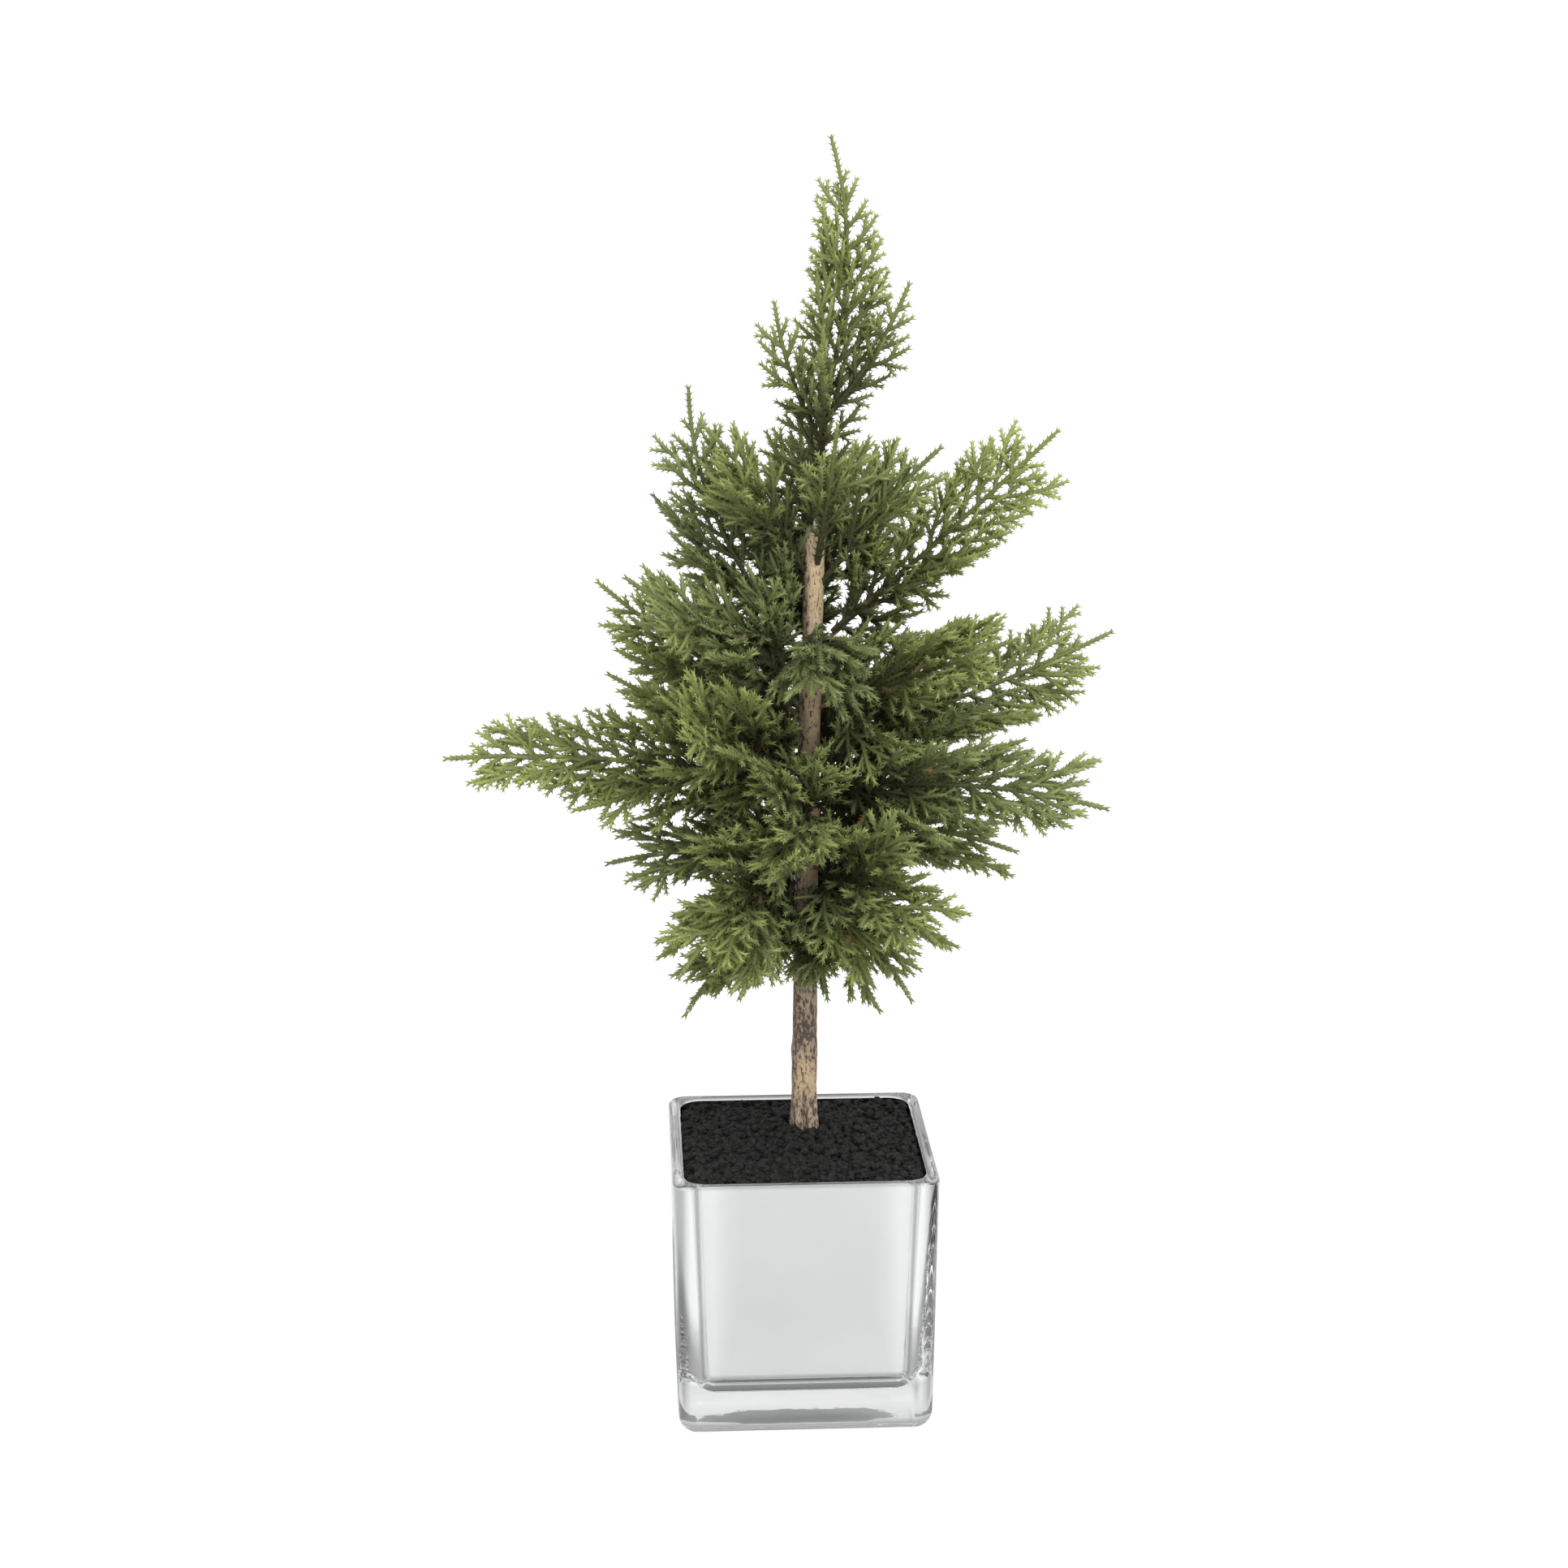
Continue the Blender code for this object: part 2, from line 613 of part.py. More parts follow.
def make_leader(parts, cutters, material):
    """The leader faces the front, and its forks grow out of its stem."""
    top = LEADER_LINE[-1][1] * MM
    steps = LEADER_STATIONS
    line = [leader_point(max(LEADER_GAP, top * i / steps)) for i in range(steps + 1)]
    directions = [(b - a).normalized() for a, b in zip(line, line[1:])]
    directions.append(directions[-1])
    mesh = spray_mesh("leader_spray", line, directions, 90, LEADER_WIDTH / 2, LEADER_STEM)
    leader = add_object("leader_spray", mesh, parts, material)
    round_off(leader)
    for number, fork_values in enumerate(LEADER_FORKS, 1):
        height, azimuth, pitch, end_pitch, roll, length, width = fork_values
        pivot = add_pivot(f"fork_{number}", leader_point(height * MM), azimuth, cutters)
        fork_line, fork_directions = curved_line(Vector(), pitch, end_pitch, length * MM)
        name = f"fork_{number}"
        fork_mesh = spray_mesh(name, fork_line, fork_directions, roll, width * MM / 2)
        fork = as_cutter(add_object(name, fork_mesh, cutters))
        fork.parent = pivot
        round_off(fork)
        boolean(leader, fork, "UNION")
    heights = (-TRUNK_FLARE, 0, ROD_IN_LEADER / 2, ROD_IN_LEADER, ROD_IN_LEADER + LEADER_GAP)
    radius = ROD_RADIUS + SOCKET_CLEARANCE
    centres = [leader_point(h) for h in heights]
    hole = swept_mesh("leader_socket", centres, [radius] * len(heights), ROD_SMOOTHNESS)
    boolean(leader, as_cutter(add_object("leader_socket", hole, cutters)), "DIFFERENCE")


# ---------------------------------------------------------------- the whole tree


def smooth_round_pieces(parts):
    for obj in parts.objects:
        if obj.type != "MESH":
            continue
        obj.data.shade_smooth()
        obj.data.set_sharp_from_angle(angle=math.radians(35))


def build():
    clear_scene()
    parts = new_collection("tabletop_tree")
    cutters = new_collection("cutters")
    materials = make_materials()
    branches = list_branches()
    make_glass(parts, cutters, materials["glass"])
    make_lining(parts, materials["silver"])
    make_weight(parts, cutters, materials["plaster"])
    make_foam(parts, cutters, materials["foam"])
    make_soil(parts, cutters, materials["soil"])
    make_rod(parts, materials["steel"])
    for branch in branches:
        branch.make(parts, cutters, materials)
    make_trunk(parts, cutters, branches, materials["bark"])
    make_leader(parts, cutters, materials["foliage"])
    smooth_round_pieces(parts)


build()
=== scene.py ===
# The looks of a tabletop conifer in a silvered glass cube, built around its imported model.
# Metres, +Z up. The front of the tree faces -Y.
import json
import math
import random

import bmesh
import bpy
import numpy as np
from mathutils import Matrix, Vector, noise
from mathutils.bvhtree import BVHTree


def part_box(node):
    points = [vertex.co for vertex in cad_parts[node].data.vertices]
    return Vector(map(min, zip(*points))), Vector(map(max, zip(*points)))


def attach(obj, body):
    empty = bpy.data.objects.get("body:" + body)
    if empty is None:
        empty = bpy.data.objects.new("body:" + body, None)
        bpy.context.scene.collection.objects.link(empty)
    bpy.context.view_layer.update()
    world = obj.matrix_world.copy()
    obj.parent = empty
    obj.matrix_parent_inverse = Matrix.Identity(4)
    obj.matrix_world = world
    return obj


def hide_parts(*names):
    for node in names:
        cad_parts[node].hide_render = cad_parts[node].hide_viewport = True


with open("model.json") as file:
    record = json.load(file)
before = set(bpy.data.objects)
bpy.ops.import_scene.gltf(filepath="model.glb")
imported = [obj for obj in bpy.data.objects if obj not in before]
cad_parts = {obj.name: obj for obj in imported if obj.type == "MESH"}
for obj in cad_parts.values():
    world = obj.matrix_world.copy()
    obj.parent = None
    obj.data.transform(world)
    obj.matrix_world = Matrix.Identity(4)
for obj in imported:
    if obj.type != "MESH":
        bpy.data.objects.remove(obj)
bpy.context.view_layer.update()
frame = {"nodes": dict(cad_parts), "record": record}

mm = 0.001
nodes = frame["nodes"]
bodyOf = {name: body for body, names in frame["record"]["behaviour"]["bodies"].items() for name in names}
mainBody = bodyOf["trunk"]
up = Vector((0, 0, 1))


# Small helpers

def turned(vector, axis, degrees):
    return Matrix.Rotation(math.radians(degrees), 3, axis) @ vector


def mixed(a, b, share):
    return a + (b - a) * share


def clamped(value, low=0.0, high=1.0):
    return max(low, min(high, value))


def softStep(value, low, high):
    share = clamped((value - low) / (high - low))
    return share * share * (3 - 2 * share)


def surfaceOf(name):  # a node's surface, for rays
    bm = bmesh.new()
    bm.from_mesh(nodes[name].data)
    surface = BVHTree.FromBMesh(bm)
    bm.free()
    return surface


def meshOf(name, bm):
    mesh = bpy.data.meshes.new(name)
    bm.to_mesh(mesh)
    bm.free()
    return mesh


def addObject(name, data):
    thing = bpy.data.objects.new(name, data)
    bpy.context.scene.collection.objects.link(thing)
    return thing


def addPiece(name, bm, material, body, replaced, smooth=True, sharpFrom=None):
    mesh = meshOf(name, bm)
    mesh.materials.append(material)
    if smooth:
        mesh.shade_smooth()
    if sharpFrom:
        mesh.set_sharp_from_angle(angle=math.radians(sharpFrom))
    piece = addObject(name, mesh)
    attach(piece, body)
    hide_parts(*replaced)
    return piece


def restOf(mesh):  # where a template's vertices are before it is moved
    places = np.empty(len(mesh.vertices) * 3)
    mesh.vertices.foreach_get("co", places)
    return places


def stamp(bm, template, rest, matrix):  # adds a moved copy of a template
    template.transform(matrix)
    bm.from_mesh(template)
    template.vertices.foreach_set("co", rest)


def bell(value, width):
    return math.exp(-((value / width) ** 2))


# Node helpers and the groups that several materials share

def setSocket(tree, socket, value):  # links a socket, or gives it a constant
    if isinstance(value, bpy.types.NodeSocket):
        tree.links.new(value, socket)
    elif socket.type == "RGBA" and len(value) == 3:
        socket.default_value = (*value, 1.0)
    else:
        socket.default_value = value


def addNode(tree, kind, inputs=None, **settings):
    node = tree.nodes.new("ShaderNode" + kind)
    for name, value in settings.items():
        setattr(node, name, value)
    for name, value in (inputs or {}).items():
        setSocket(tree, node.inputs[name], value)
    return node


def mixColours(tree, factor, a, b, blend="MIX"):
    node = addNode(tree, "Mix", data_type="RGBA", blend_type=blend)
    for index, value in ((0, factor), (6, a), (7, b)):
        setSocket(tree, node.inputs[index], value)
    return node.outputs[2]


def mapped(tree, value, fromLow, fromHigh, toLow, toHigh):
    return addNode(tree, "MapRange", {"Value": value, "From Min": fromLow, "From Max": fromHigh,
                                      "To Min": toLow, "To Max": toHigh}).outputs["Result"]


def calculated(tree, operation, a, b=0.0):
    node = addNode(tree, "Math", operation=operation)
    setSocket(tree, node.inputs[0], a)
    setSocket(tree, node.inputs[1], b)
    return node.outputs[0]


def placeOf(tree):  # a point's X, Y and Z on the piece
    return addNode(tree, "SeparateXYZ", {"Vector": addNode(tree, "TexCoord").outputs["Object"]}).outputs


def reachOf(tree, operation, x, y):  # the less or the more of two distances from the middle
    return calculated(tree, operation, calculated(tree, "ABSOLUTE", x), calculated(tree, "ABSOLUTE", y))


def painted(tree, name):  # a value painted on the mesh
    return addNode(tree, "Attribute", attribute_name=name).outputs["Fac"]


def rampOf(tree, factor, stops):
    node = addNode(tree, "ValToRGB", {"Fac": factor})
    elements = node.color_ramp.elements
    while len(elements) < len(stops):
        elements.new(0.5)
    for element, (position, colour) in zip(elements, stops):
        element.position = position
        element.color = (*colour, 1.0)
    return node.outputs["Color"]


def newGroup(name, inputs, outputs):
    tree = bpy.data.node_groups.new(name, "ShaderNodeTree")
    for socketName, kind, value in inputs:
        socket = tree.interface.new_socket(socketName, in_out="INPUT", socket_type="NodeSocket" + kind)
        socket.default_value = value
    for socketName, kind in outputs:
        tree.interface.new_socket(socketName, in_out="OUTPUT", socket_type="NodeSocket" + kind)
    return tree, tree.nodes.new("NodeGroupInput"), tree.nodes.new("NodeGroupOutput")


def makeMottle():  # two colours in soft patches
    tree, given, result = newGroup(
        "mottle",
        [("Scale", "Float", 100.0), ("Spread", "Float", 0.2), ("First", "Color", (0, 0, 0, 1)),
         ("Second", "Color", (1, 1, 1, 1))],
        [("Colour", "Color"), ("Mask", "Float")],
    )
    place = addNode(tree, "TexCoord").outputs["Object"]
    cloud = addNode(tree, "TexNoise", {"Vector": place, "Scale": given.outputs["Scale"], "Detail": 5.0,
                                       "Roughness": 0.62})
    low = calculated(tree, "SUBTRACT", 0.5, given.outputs["Spread"])
    high = calculated(tree, "ADD", 0.5, given.outputs["Spread"])
    mask = mapped(tree, cloud.outputs["Fac"], low, high, 0.0, 1.0)
    tree.links.new(mask, result.inputs["Mask"])
    colour = mixColours(tree, mask, given.outputs["First"], given.outputs["Second"])
    tree.links.new(colour, result.inputs["Colour"])
    return tree


def makeGrain():  # fine relief, and a roughness that follows it
    tree, given, result = newGroup(
        "grain",
        [("Scale", "Float", 900.0), ("Smoothest", "Float", 0.4), ("Roughest", "Float", 0.7)],
        [("Height", "Float"), ("Roughness", "Float")],
    )
    place = addNode(tree, "TexCoord").outputs["Object"]
    fine = addNode(tree, "TexNoise", {"Vector": place, "Scale": given.outputs["Scale"], "Detail": 4.0,
                                      "Roughness": 0.6})
    tree.links.new(fine.outputs["Fac"], result.inputs["Height"])
    rough = mapped(tree, fine.outputs["Fac"], 0.3, 0.7, given.outputs["Smoothest"], given.outputs["Roughest"])
    tree.links.new(rough, result.inputs["Roughness"])
    return tree


def makeFlecks():  # small marks with hard edges, longer along one direction
    tree, given, result = newGroup(
        "flecks",
        [("Scale", "Float", 500.0), ("Stretch", "Vector", (1, 1, 1)), ("Slant", "Vector", (0, 0, 0)),
         ("Amount", "Float", 0.5), ("Softness", "Float", 0.04)],
        [("Mask", "Float")],
    )
    place = addNode(tree, "TexCoord").outputs["Object"]
    laid = addNode(tree, "Mapping", {"Vector": place, "Rotation": given.outputs["Slant"],
                                     "Scale": given.outputs["Stretch"]}).outputs["Vector"]
    marks = addNode(tree, "TexNoise", {"Vector": laid, "Scale": given.outputs["Scale"], "Detail": 6.0,
                                       "Roughness": 0.7})
    edge = calculated(tree, "SUBTRACT", 1.0, given.outputs["Amount"])
    high = calculated(tree, "ADD", edge, given.outputs["Softness"])
    tree.links.new(mapped(tree, marks.outputs["Fac"], edge, high, 0.0, 1.0), result.inputs["Mask"])
    return tree


mottle, grain, flecks = makeMottle(), makeGrain(), makeFlecks()


def placeGroup(tree, group, inputs):
    node = tree.nodes.new("ShaderNodeGroup")
    node.node_tree = group
    for name, value in inputs.items():
        setSocket(tree, node.inputs[name], value)
    return node


def newMaterial(name, **constants):
    material = bpy.data.materials.new(name)
    material.use_nodes = True
    tree = material.node_tree
    shader = tree.nodes["Principled BSDF"]
    for socket, value in constants.items():
        shader.inputs[socket.replace("_", " ")].default_value = value
    return material, tree, shader


def finishMaterial(tree, shader, colour, surface, height, strength, distance):
    bump = addNode(tree, "Bump", {"Height": height, "Strength": strength, "Distance": distance})
    tree.links.new(colour, shader.inputs["Base Color"])
    tree.links.new(surface.outputs["Roughness"], shader.inputs["Roughness"])
    tree.links.new(bump.outputs["Normal"], shader.inputs["Normal"])


# Materials

leafLook = {
    # the ramps run from dark at the wood to light at the tips: the dark low end is partly older growth and
    # partly painted shade deep in the crown
    "greens": [(0.0, (0.036, 0.032, 0.013)), (0.25, (0.058, 0.066, 0.019)), (0.5, (0.178, 0.208, 0.060)),
               (0.75, (0.330, 0.378, 0.118)), (1.0, (0.450, 0.505, 0.180))],
    "greys": [(0.0, (0.032, 0.032, 0.015)), (0.25, (0.052, 0.062, 0.025)), (0.5, (0.135, 0.164, 0.066)),
              (0.75, (0.240, 0.288, 0.120)), (1.0, (0.320, 0.375, 0.170))],
    "darker": (0.72, 0.74, 0.70),  # what the patches multiply the greens by
    "lighter": (1.22, 1.2, 1.12),
    "dry": (0.40, 0.24, 0.11, 1.0),
}


def makeLeafMaterial():
    material, tree, shader = newMaterial("mouldedFoliage", Specular_IOR_Level=0.35)
    growthAndShade = painted(tree, "growthAndShade")  # 0 on the wood and 1 at the newest tips; low values are darker both as older growth and as painted shade inside the crown
    greys = rampOf(tree, growthAndShade, leafLook["greys"])
    greens = rampOf(tree, growthAndShade, leafLook["greens"])
    colour = mixColours(tree, painted(tree, "tint"), greys, greens)
    patches = placeGroup(tree, mottle, {"Scale": 150.0, "Spread": 0.22, "First": leafLook["darker"],
                                        "Second": leafLook["lighter"]})
    colour = mixColours(tree, 1.0, colour, patches.outputs["Colour"], "MULTIPLY")
    colour = mixColours(tree, painted(tree, "dry"), colour, leafLook["dry"])
    fine = placeGroup(tree, grain, {"Scale": 1500.0, "Smoothest": 0.48, "Roughest": 0.72})
    finishMaterial(tree, shader, colour, fine, fine.outputs["Height"], 0.35, 0.3 * mm)
    return material


barkLook = {
    "tan": (0.44, 0.33, 0.215),
    "beige": (0.58, 0.47, 0.33),
    "orange": (0.60, 0.42, 0.22),
    "greyBrown": (0.34, 0.28, 0.21),
    "dark": (0.115, 0.083, 0.070, 1.0),
    "marks": 0.48,  # the share of the bark that the dark marks take, and what the painted zones change it by
    "shadeMarks": 0.05,
    "paleMarks": 0.07,
    "fineMarks": 0.6,
    "markDepth": 0.8,
}


def makeBarkMaterial():
    material, tree, shader = newMaterial("paintedBark", Specular_IOR_Level=0.3)
    shade, pale = painted(tree, "shade"), painted(tree, "pale")
    wood = placeGroup(tree, mottle, {"Scale": 160.0, "Spread": 0.16, "First": barkLook["tan"],
                                     "Second": barkLook["beige"]})
    grey = placeGroup(tree, mottle, {"Scale": 90.0, "Spread": 0.14, "First": barkLook["greyBrown"],
                                     "Second": barkLook["tan"]})
    warm = placeGroup(tree, mottle, {"Scale": 120.0, "Spread": 0.2, "First": barkLook["orange"],
                                     "Second": barkLook["beige"]})
    # the shade zones, partly painted shade, turn grey-brown, and the pale zones, partly painted light, turn
    # orange and beige
    colour = mixColours(tree, shade, wood.outputs["Colour"], grey.outputs["Colour"])
    colour = mixColours(tree, pale, colour, warm.outputs["Colour"])
    shadeMarks = calculated(tree, "MULTIPLY", shade, barkLook["shadeMarks"])
    paleMarks = calculated(tree, "MULTIPLY", pale, barkLook["paleMarks"])
    amount = calculated(tree, "ADD", barkLook["marks"], calculated(tree, "SUBTRACT", shadeMarks, paleMarks))
    marks = placeGroup(tree, flecks, {"Scale": 900.0, "Stretch": (1.0, 1.0, 0.36), "Slant": (0.2, 0.35, 0.0),
                                      "Amount": amount, "Softness": 0.035}).outputs["Mask"]
    small = placeGroup(tree, flecks, {"Scale": 1500.0, "Stretch": (1.0, 1.0, 0.4), "Slant": (-0.3, 0.2, 0.0),
                                      "Amount": 0.45, "Softness": 0.05}).outputs["Mask"]
    colour = mixColours(tree, marks, colour, barkLook["dark"])
    fineMarks = calculated(tree, "MULTIPLY", small, barkLook["fineMarks"])
    colour = mixColours(tree, fineMarks, colour, barkLook["dark"])
    fine = placeGroup(tree, grain, {"Scale": 1100.0, "Smoothest": 0.62, "Roughest": 0.9})
    sunken = calculated(tree, "MULTIPLY", marks, barkLook["markDepth"])
    relief = calculated(tree, "SUBTRACT", fine.outputs["Height"], sunken)
    finishMaterial(tree, shader, colour, fine, relief, 0.6, 0.5 * mm)
    return material


soilLook = {
    "dark": (0.0025, 0.0025, 0.0027),
    "light": (0.031, 0.030, 0.029),
    "speck": (0.14, 0.135, 0.13, 1.0),
}


def makeSoilMaterial():
    material, tree, shader = newMaterial("blackSoil", Specular_IOR_Level=0.22)
    ground = placeGroup(tree, mottle, {"Scale": 420.0, "Spread": 0.16, "First": soilLook["dark"],
                                       "Second": soilLook["light"]})
    specks = placeGroup(tree, flecks, {"Scale": 700.0, "Amount": 0.275, "Softness": 0.02})
    colour = mixColours(tree, specks.outputs["Mask"], ground.outputs["Colour"], soilLook["speck"])
    fine = placeGroup(tree, grain, {"Scale": 1400.0, "Smoothest": 0.55, "Roughest": 1.0})
    finishMaterial(tree, shader, colour, fine, fine.outputs["Height"], 0.8, 0.8 * mm)
    return material


glassLook = {  # painted shade: the glass is coloured darker at its upright edges, at its foot and round its rim, where thick glass shows grey
    "first": (0.955, 0.965, 0.965),
    "second": (0.985, 0.99, 0.99),
    "edge": (0.27, 0.28, 0.28, 1.0),
    "paintedEdgeBand": (43.5 * mm, 46.5 * mm),
    "foot": (0.70, 0.71, 0.71, 1.0),
    "paintedFootBand": (7 * mm, 14 * mm),
    "rim": (0.60, 0.61, 0.61, 1.0),
    "rimShadeBand": (100.2 * mm, 101.2 * mm),
}


def makeGlassMaterial():
    material, tree, shader = newMaterial("clearGlass", Transmission_Weight=1.0, IOR=1.5, Metallic=0.0)
    tone = placeGroup(tree, mottle, {"Scale": 14.0, "Spread": 0.3, "First": glassLook["first"],
                                     "Second": glassLook["second"]})
    wave = placeGroup(tree, grain, {"Scale": 16.0, "Smoothest": 0.0, "Roughest": 0.012})
    place = placeOf(tree)
    nearest = reachOf(tree, "MINIMUM", place["X"], place["Y"])
    # painted shade towards the upright edges, the foot and the rim
    edge = mapped(tree, nearest, *glassLook["paintedEdgeBand"], 0.0, 1.0)
    foot = mapped(tree, place["Z"], *glassLook["paintedFootBand"], 1.0, 0.0)
    rim = mapped(tree, place["Z"], *glassLook["rimShadeBand"], 0.0, 1.0)
    colour = mixColours(tree, edge, tone.outputs["Colour"], glassLook["edge"])
    colour = mixColours(tree, foot, colour, glassLook["foot"])
    colour = mixColours(tree, rim, colour, glassLook["rim"])
    finishMaterial(tree, shader, colour, wave, wave.outputs["Height"], 0.12, 2 * mm)
    return material


silverLook = {
    "first": (0.70, 0.70, 0.70),
    "second": (0.73, 0.73, 0.73),
    "edge": (0.87, 0.87, 0.87, 1.0),  # painted reflection: the coat is brighter towards its upright edges and its foot
    "paintedEdgeBand": (22 * mm, 35 * mm),
    "paintedFootBand": (14 * mm, 48 * mm),
    "footHighlightShare": 0.75,
}


def makeSilverMaterial():
    material, tree, shader = newMaterial("silverLining", Metallic=1.0)
    tone = placeGroup(tree, mottle, {"Scale": 24.0, "Spread": 0.25, "First": silverLook["first"],
                                     "Second": silverLook["second"]})
    place = placeOf(tree)
    nearest = reachOf(tree, "MINIMUM", place["X"], place["Y"])
    # painted reflection: brighter towards the upright edges and the foot
    edge = mapped(tree, nearest, *silverLook["paintedEdgeBand"], 0.0, 1.0)
    foot = mapped(tree, place["Z"], *silverLook["paintedFootBand"], silverLook["footHighlightShare"], 0.0)
    paintedHighlight = calculated(tree, "MAXIMUM", calculated(tree, "MULTIPLY", edge, edge), foot)
    colour = mixColours(tree, paintedHighlight, tone.outputs["Colour"], silverLook["edge"])
    wave = placeGroup(tree, grain, {"Scale": 22.0, "Smoothest": 0.045, "Roughest": 0.09})
    finishMaterial(tree, shader, colour, wave, wave.outputs["Height"], 0.10, 2 * mm)
    return material


plainLooks = {
    # first and second colour, scale of the patches and of the grain, smoothest and roughest, metallic, relief
    "castPlaster": ((0.62, 0.59, 0.54), (0.74, 0.72, 0.67), 120.0, 1300.0, (0.8, 0.97), 0.0, 0.4),
    "dryFoam": ((0.06, 0.11, 0.06), (0.11, 0.17, 0.09), 500.0, 1800.0, (0.85, 1.0), 0.0, 0.4),
    "rodSteel": ((0.38, 0.38, 0.39), (0.52, 0.52, 0.52), 200.0, 2200.0, (0.28, 0.5), 1.0, 0.15),
    "wrappedWire": ((0.13, 0.075, 0.035), (0.27, 0.16, 0.08), 420.0, 2400.0, (0.6, 0.85), 0.0, 0.4),
    "paleFloor": ((0.52, 0.52, 0.52), (0.55, 0.55, 0.55), 2.0, 60.0, (0.7, 0.8), 0.0, 0.02),
}
carriedLooks = {"plaster": "castPlaster", "foam": "dryFoam", "core": "rodSteel", "wire": "wrappedWire"}


def makePlainMaterial(name):
    first, second, patchScale, grainScale, (smoothest, roughest), metallic, relief = plainLooks[name]
    material, tree, shader = newMaterial(name, Metallic=metallic)
    patches = placeGroup(tree, mottle, {"Scale": patchScale, "Spread": 0.2, "First": first, "Second": second})
    fine = placeGroup(tree, grain, {"Scale": grainScale, "Smoothest": smoothest, "Roughest": roughest})
    finishMaterial(tree, shader, patches.outputs["Colour"], fine, fine.outputs["Height"], relief, 0.4 * mm)
    return material


leafMaterial = makeLeafMaterial()
barkMaterial = makeBarkMaterial()
soilMaterial = makeSoilMaterial()
glassMaterial = makeGlassMaterial()
silverMaterial = makeSilverMaterial()
carriedMaterials = {word: makePlainMaterial(look) for word, look in carriedLooks.items()}
for nodeName, node in nodes.items():  # a node that shows as it is takes its material by its first word
    material = carriedMaterials.get(nodeName.split("_")[0])
    if material:
        node.data.materials.clear()
        node.data.materials.append(material)
print("materials made")


# Glass cube and its silvered lining

potShape = {
    "draft": 1.6 * mm,  # each wall leans in by this much at the foot
    "corner": 7.0 * mm,
    "footWall": 6.5 * mm,
    "cavityCorner": 9.3 * mm,
    "liningGap": 0.3 * mm,
    "liningWall": 0.4 * mm,
    "roundSegments": 10,
    "rimEdge": 1.4 * mm,
    "edgeSegments": 6,
    "leastCorner": 1.0 * mm,
    "pushUp": 0.9 * mm,  # the underside is hollowed by this much
    "pushUpMargin": 9.0 * mm,
    "sharpFrom": 50,
}
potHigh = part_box("glass_cube")[1]
liningLow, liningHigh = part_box("mirror_lining")
potHalf = potHigh.x
cavityTopHalf = liningHigh.x + potShape["liningGap"]
cavityFootHalf = potHalf - potShape["footWall"]
baseTop = liningLow.z - potShape["liningGap"]


def roundedTub(bm, footHalf, topHalf, foot, top, corner):  # an open box with round corners
    made = bmesh.ops.create_cube(bm, size=2.0)["verts"]
    for vert in made:
        half, height = (topHalf, top) if vert.co.z > 0 else (footHalf, foot)
        vert.co = Vector((vert.co.x * half, vert.co.y * half, height))
    lid = max(bm.faces, key=lambda face: face.calc_center_median().z)
    bmesh.ops.delete(bm, geom=[lid], context="FACES_ONLY")
    rounded = [edge for edge in bm.edges if min(vert.co.z for vert in edge.verts) < mixed(foot, top, 0.5)]
    bmesh.ops.bevel(bm, geom=rounded, offset=corner, segments=potShape["roundSegments"], profile=0.5,
                    affect="EDGES", material=-1)


def addRing(bm, half, corner, height, capped):  # a square with round corners
    steps = potShape["roundSegments"]
    ring = bmesh.ops.create_circle(bm, cap_ends=capped, segments=4 * (steps + 1), radius=1.0)["verts"]
    for index, vert in enumerate(ring):
        quarter, step = divmod(index, steps + 1)
        middle = turned(Vector((half - corner, half - corner, height)), up, 90 * quarter)
        vert.co = middle + turned(Vector((corner, 0, 0)), up, 90 * (quarter + step / steps))
    return {edge for vert in ring for edge in vert.link_edges}


# The half width, corner radius and height of each ring of a rounded edge.
def roundEdge(half, corner, height, radius, fromTurn, toTurn, upward, inward):
    levels = []
    for step in range(potShape["edgeSegments"] + 1):
        angle = math.radians(mixed(fromTurn, toTurn, step / potShape["edgeSegments"]))
        back = radius * (1 - math.sin(angle))
        levels.append((half - inward * back, max(corner - inward * back, potShape["leastCorner"]),
                       height + upward * radius * (1 - math.cos(angle))))
    return levels


def evenShading(piece):  # flat walls stay flat and the rounded edges take all of the turn
    shading = piece.modifiers.new("evenShading", "WEIGHTED_NORMAL")
    shading.mode = "FACE_AREA"
    shading.weight = 100
    shading.keep_sharp = True


def makeGlass():
    footHalf = potHalf - potShape["draft"]
    corner, cavityCorner, rim = potShape["corner"], potShape["cavityCorner"], potShape["rimEdge"]
    flat = footHalf - corner - potShape["pushUpMargin"]
    # From the middle of the underside, with its shallow hollow, out, up, over the rim and down inside.
    levels = [(flat - potShape["pushUpMargin"], potShape["leastCorner"], potShape["pushUp"]),
              (flat, potShape["leastCorner"], 0.0)]
    levels += roundEdge(footHalf, corner, 0.0, corner, 0, 90, 1, 1)
    levels += roundEdge(potHalf, corner, potHigh.z, rim, 90, 0, -1, 1)
    levels += roundEdge(cavityTopHalf, cavityCorner, potHigh.z, rim, 0, 90, -1, -1)
    levels += roundEdge(cavityFootHalf, cavityCorner, baseTop, cavityCorner, 90, 0, 1, 1)
    bm = bmesh.new()
    rings = [addRing(bm, *level, level in (levels[0], levels[-1])) for level in levels]
    for low, high in zip(rings, rings[1:]):
        bmesh.ops.bridge_loops(bm, edges=list(low | high))
    bmesh.ops.recalc_face_normals(bm, faces=bm.faces)
    glass = addPiece("pressed_glass_cube", bm, glassMaterial, mainBody, ["glass_cube"],
                     sharpFrom=potShape["sharpFrom"])
    evenShading(glass)
    glass.visible_shadow = False  # light reaches the floor through clear glass


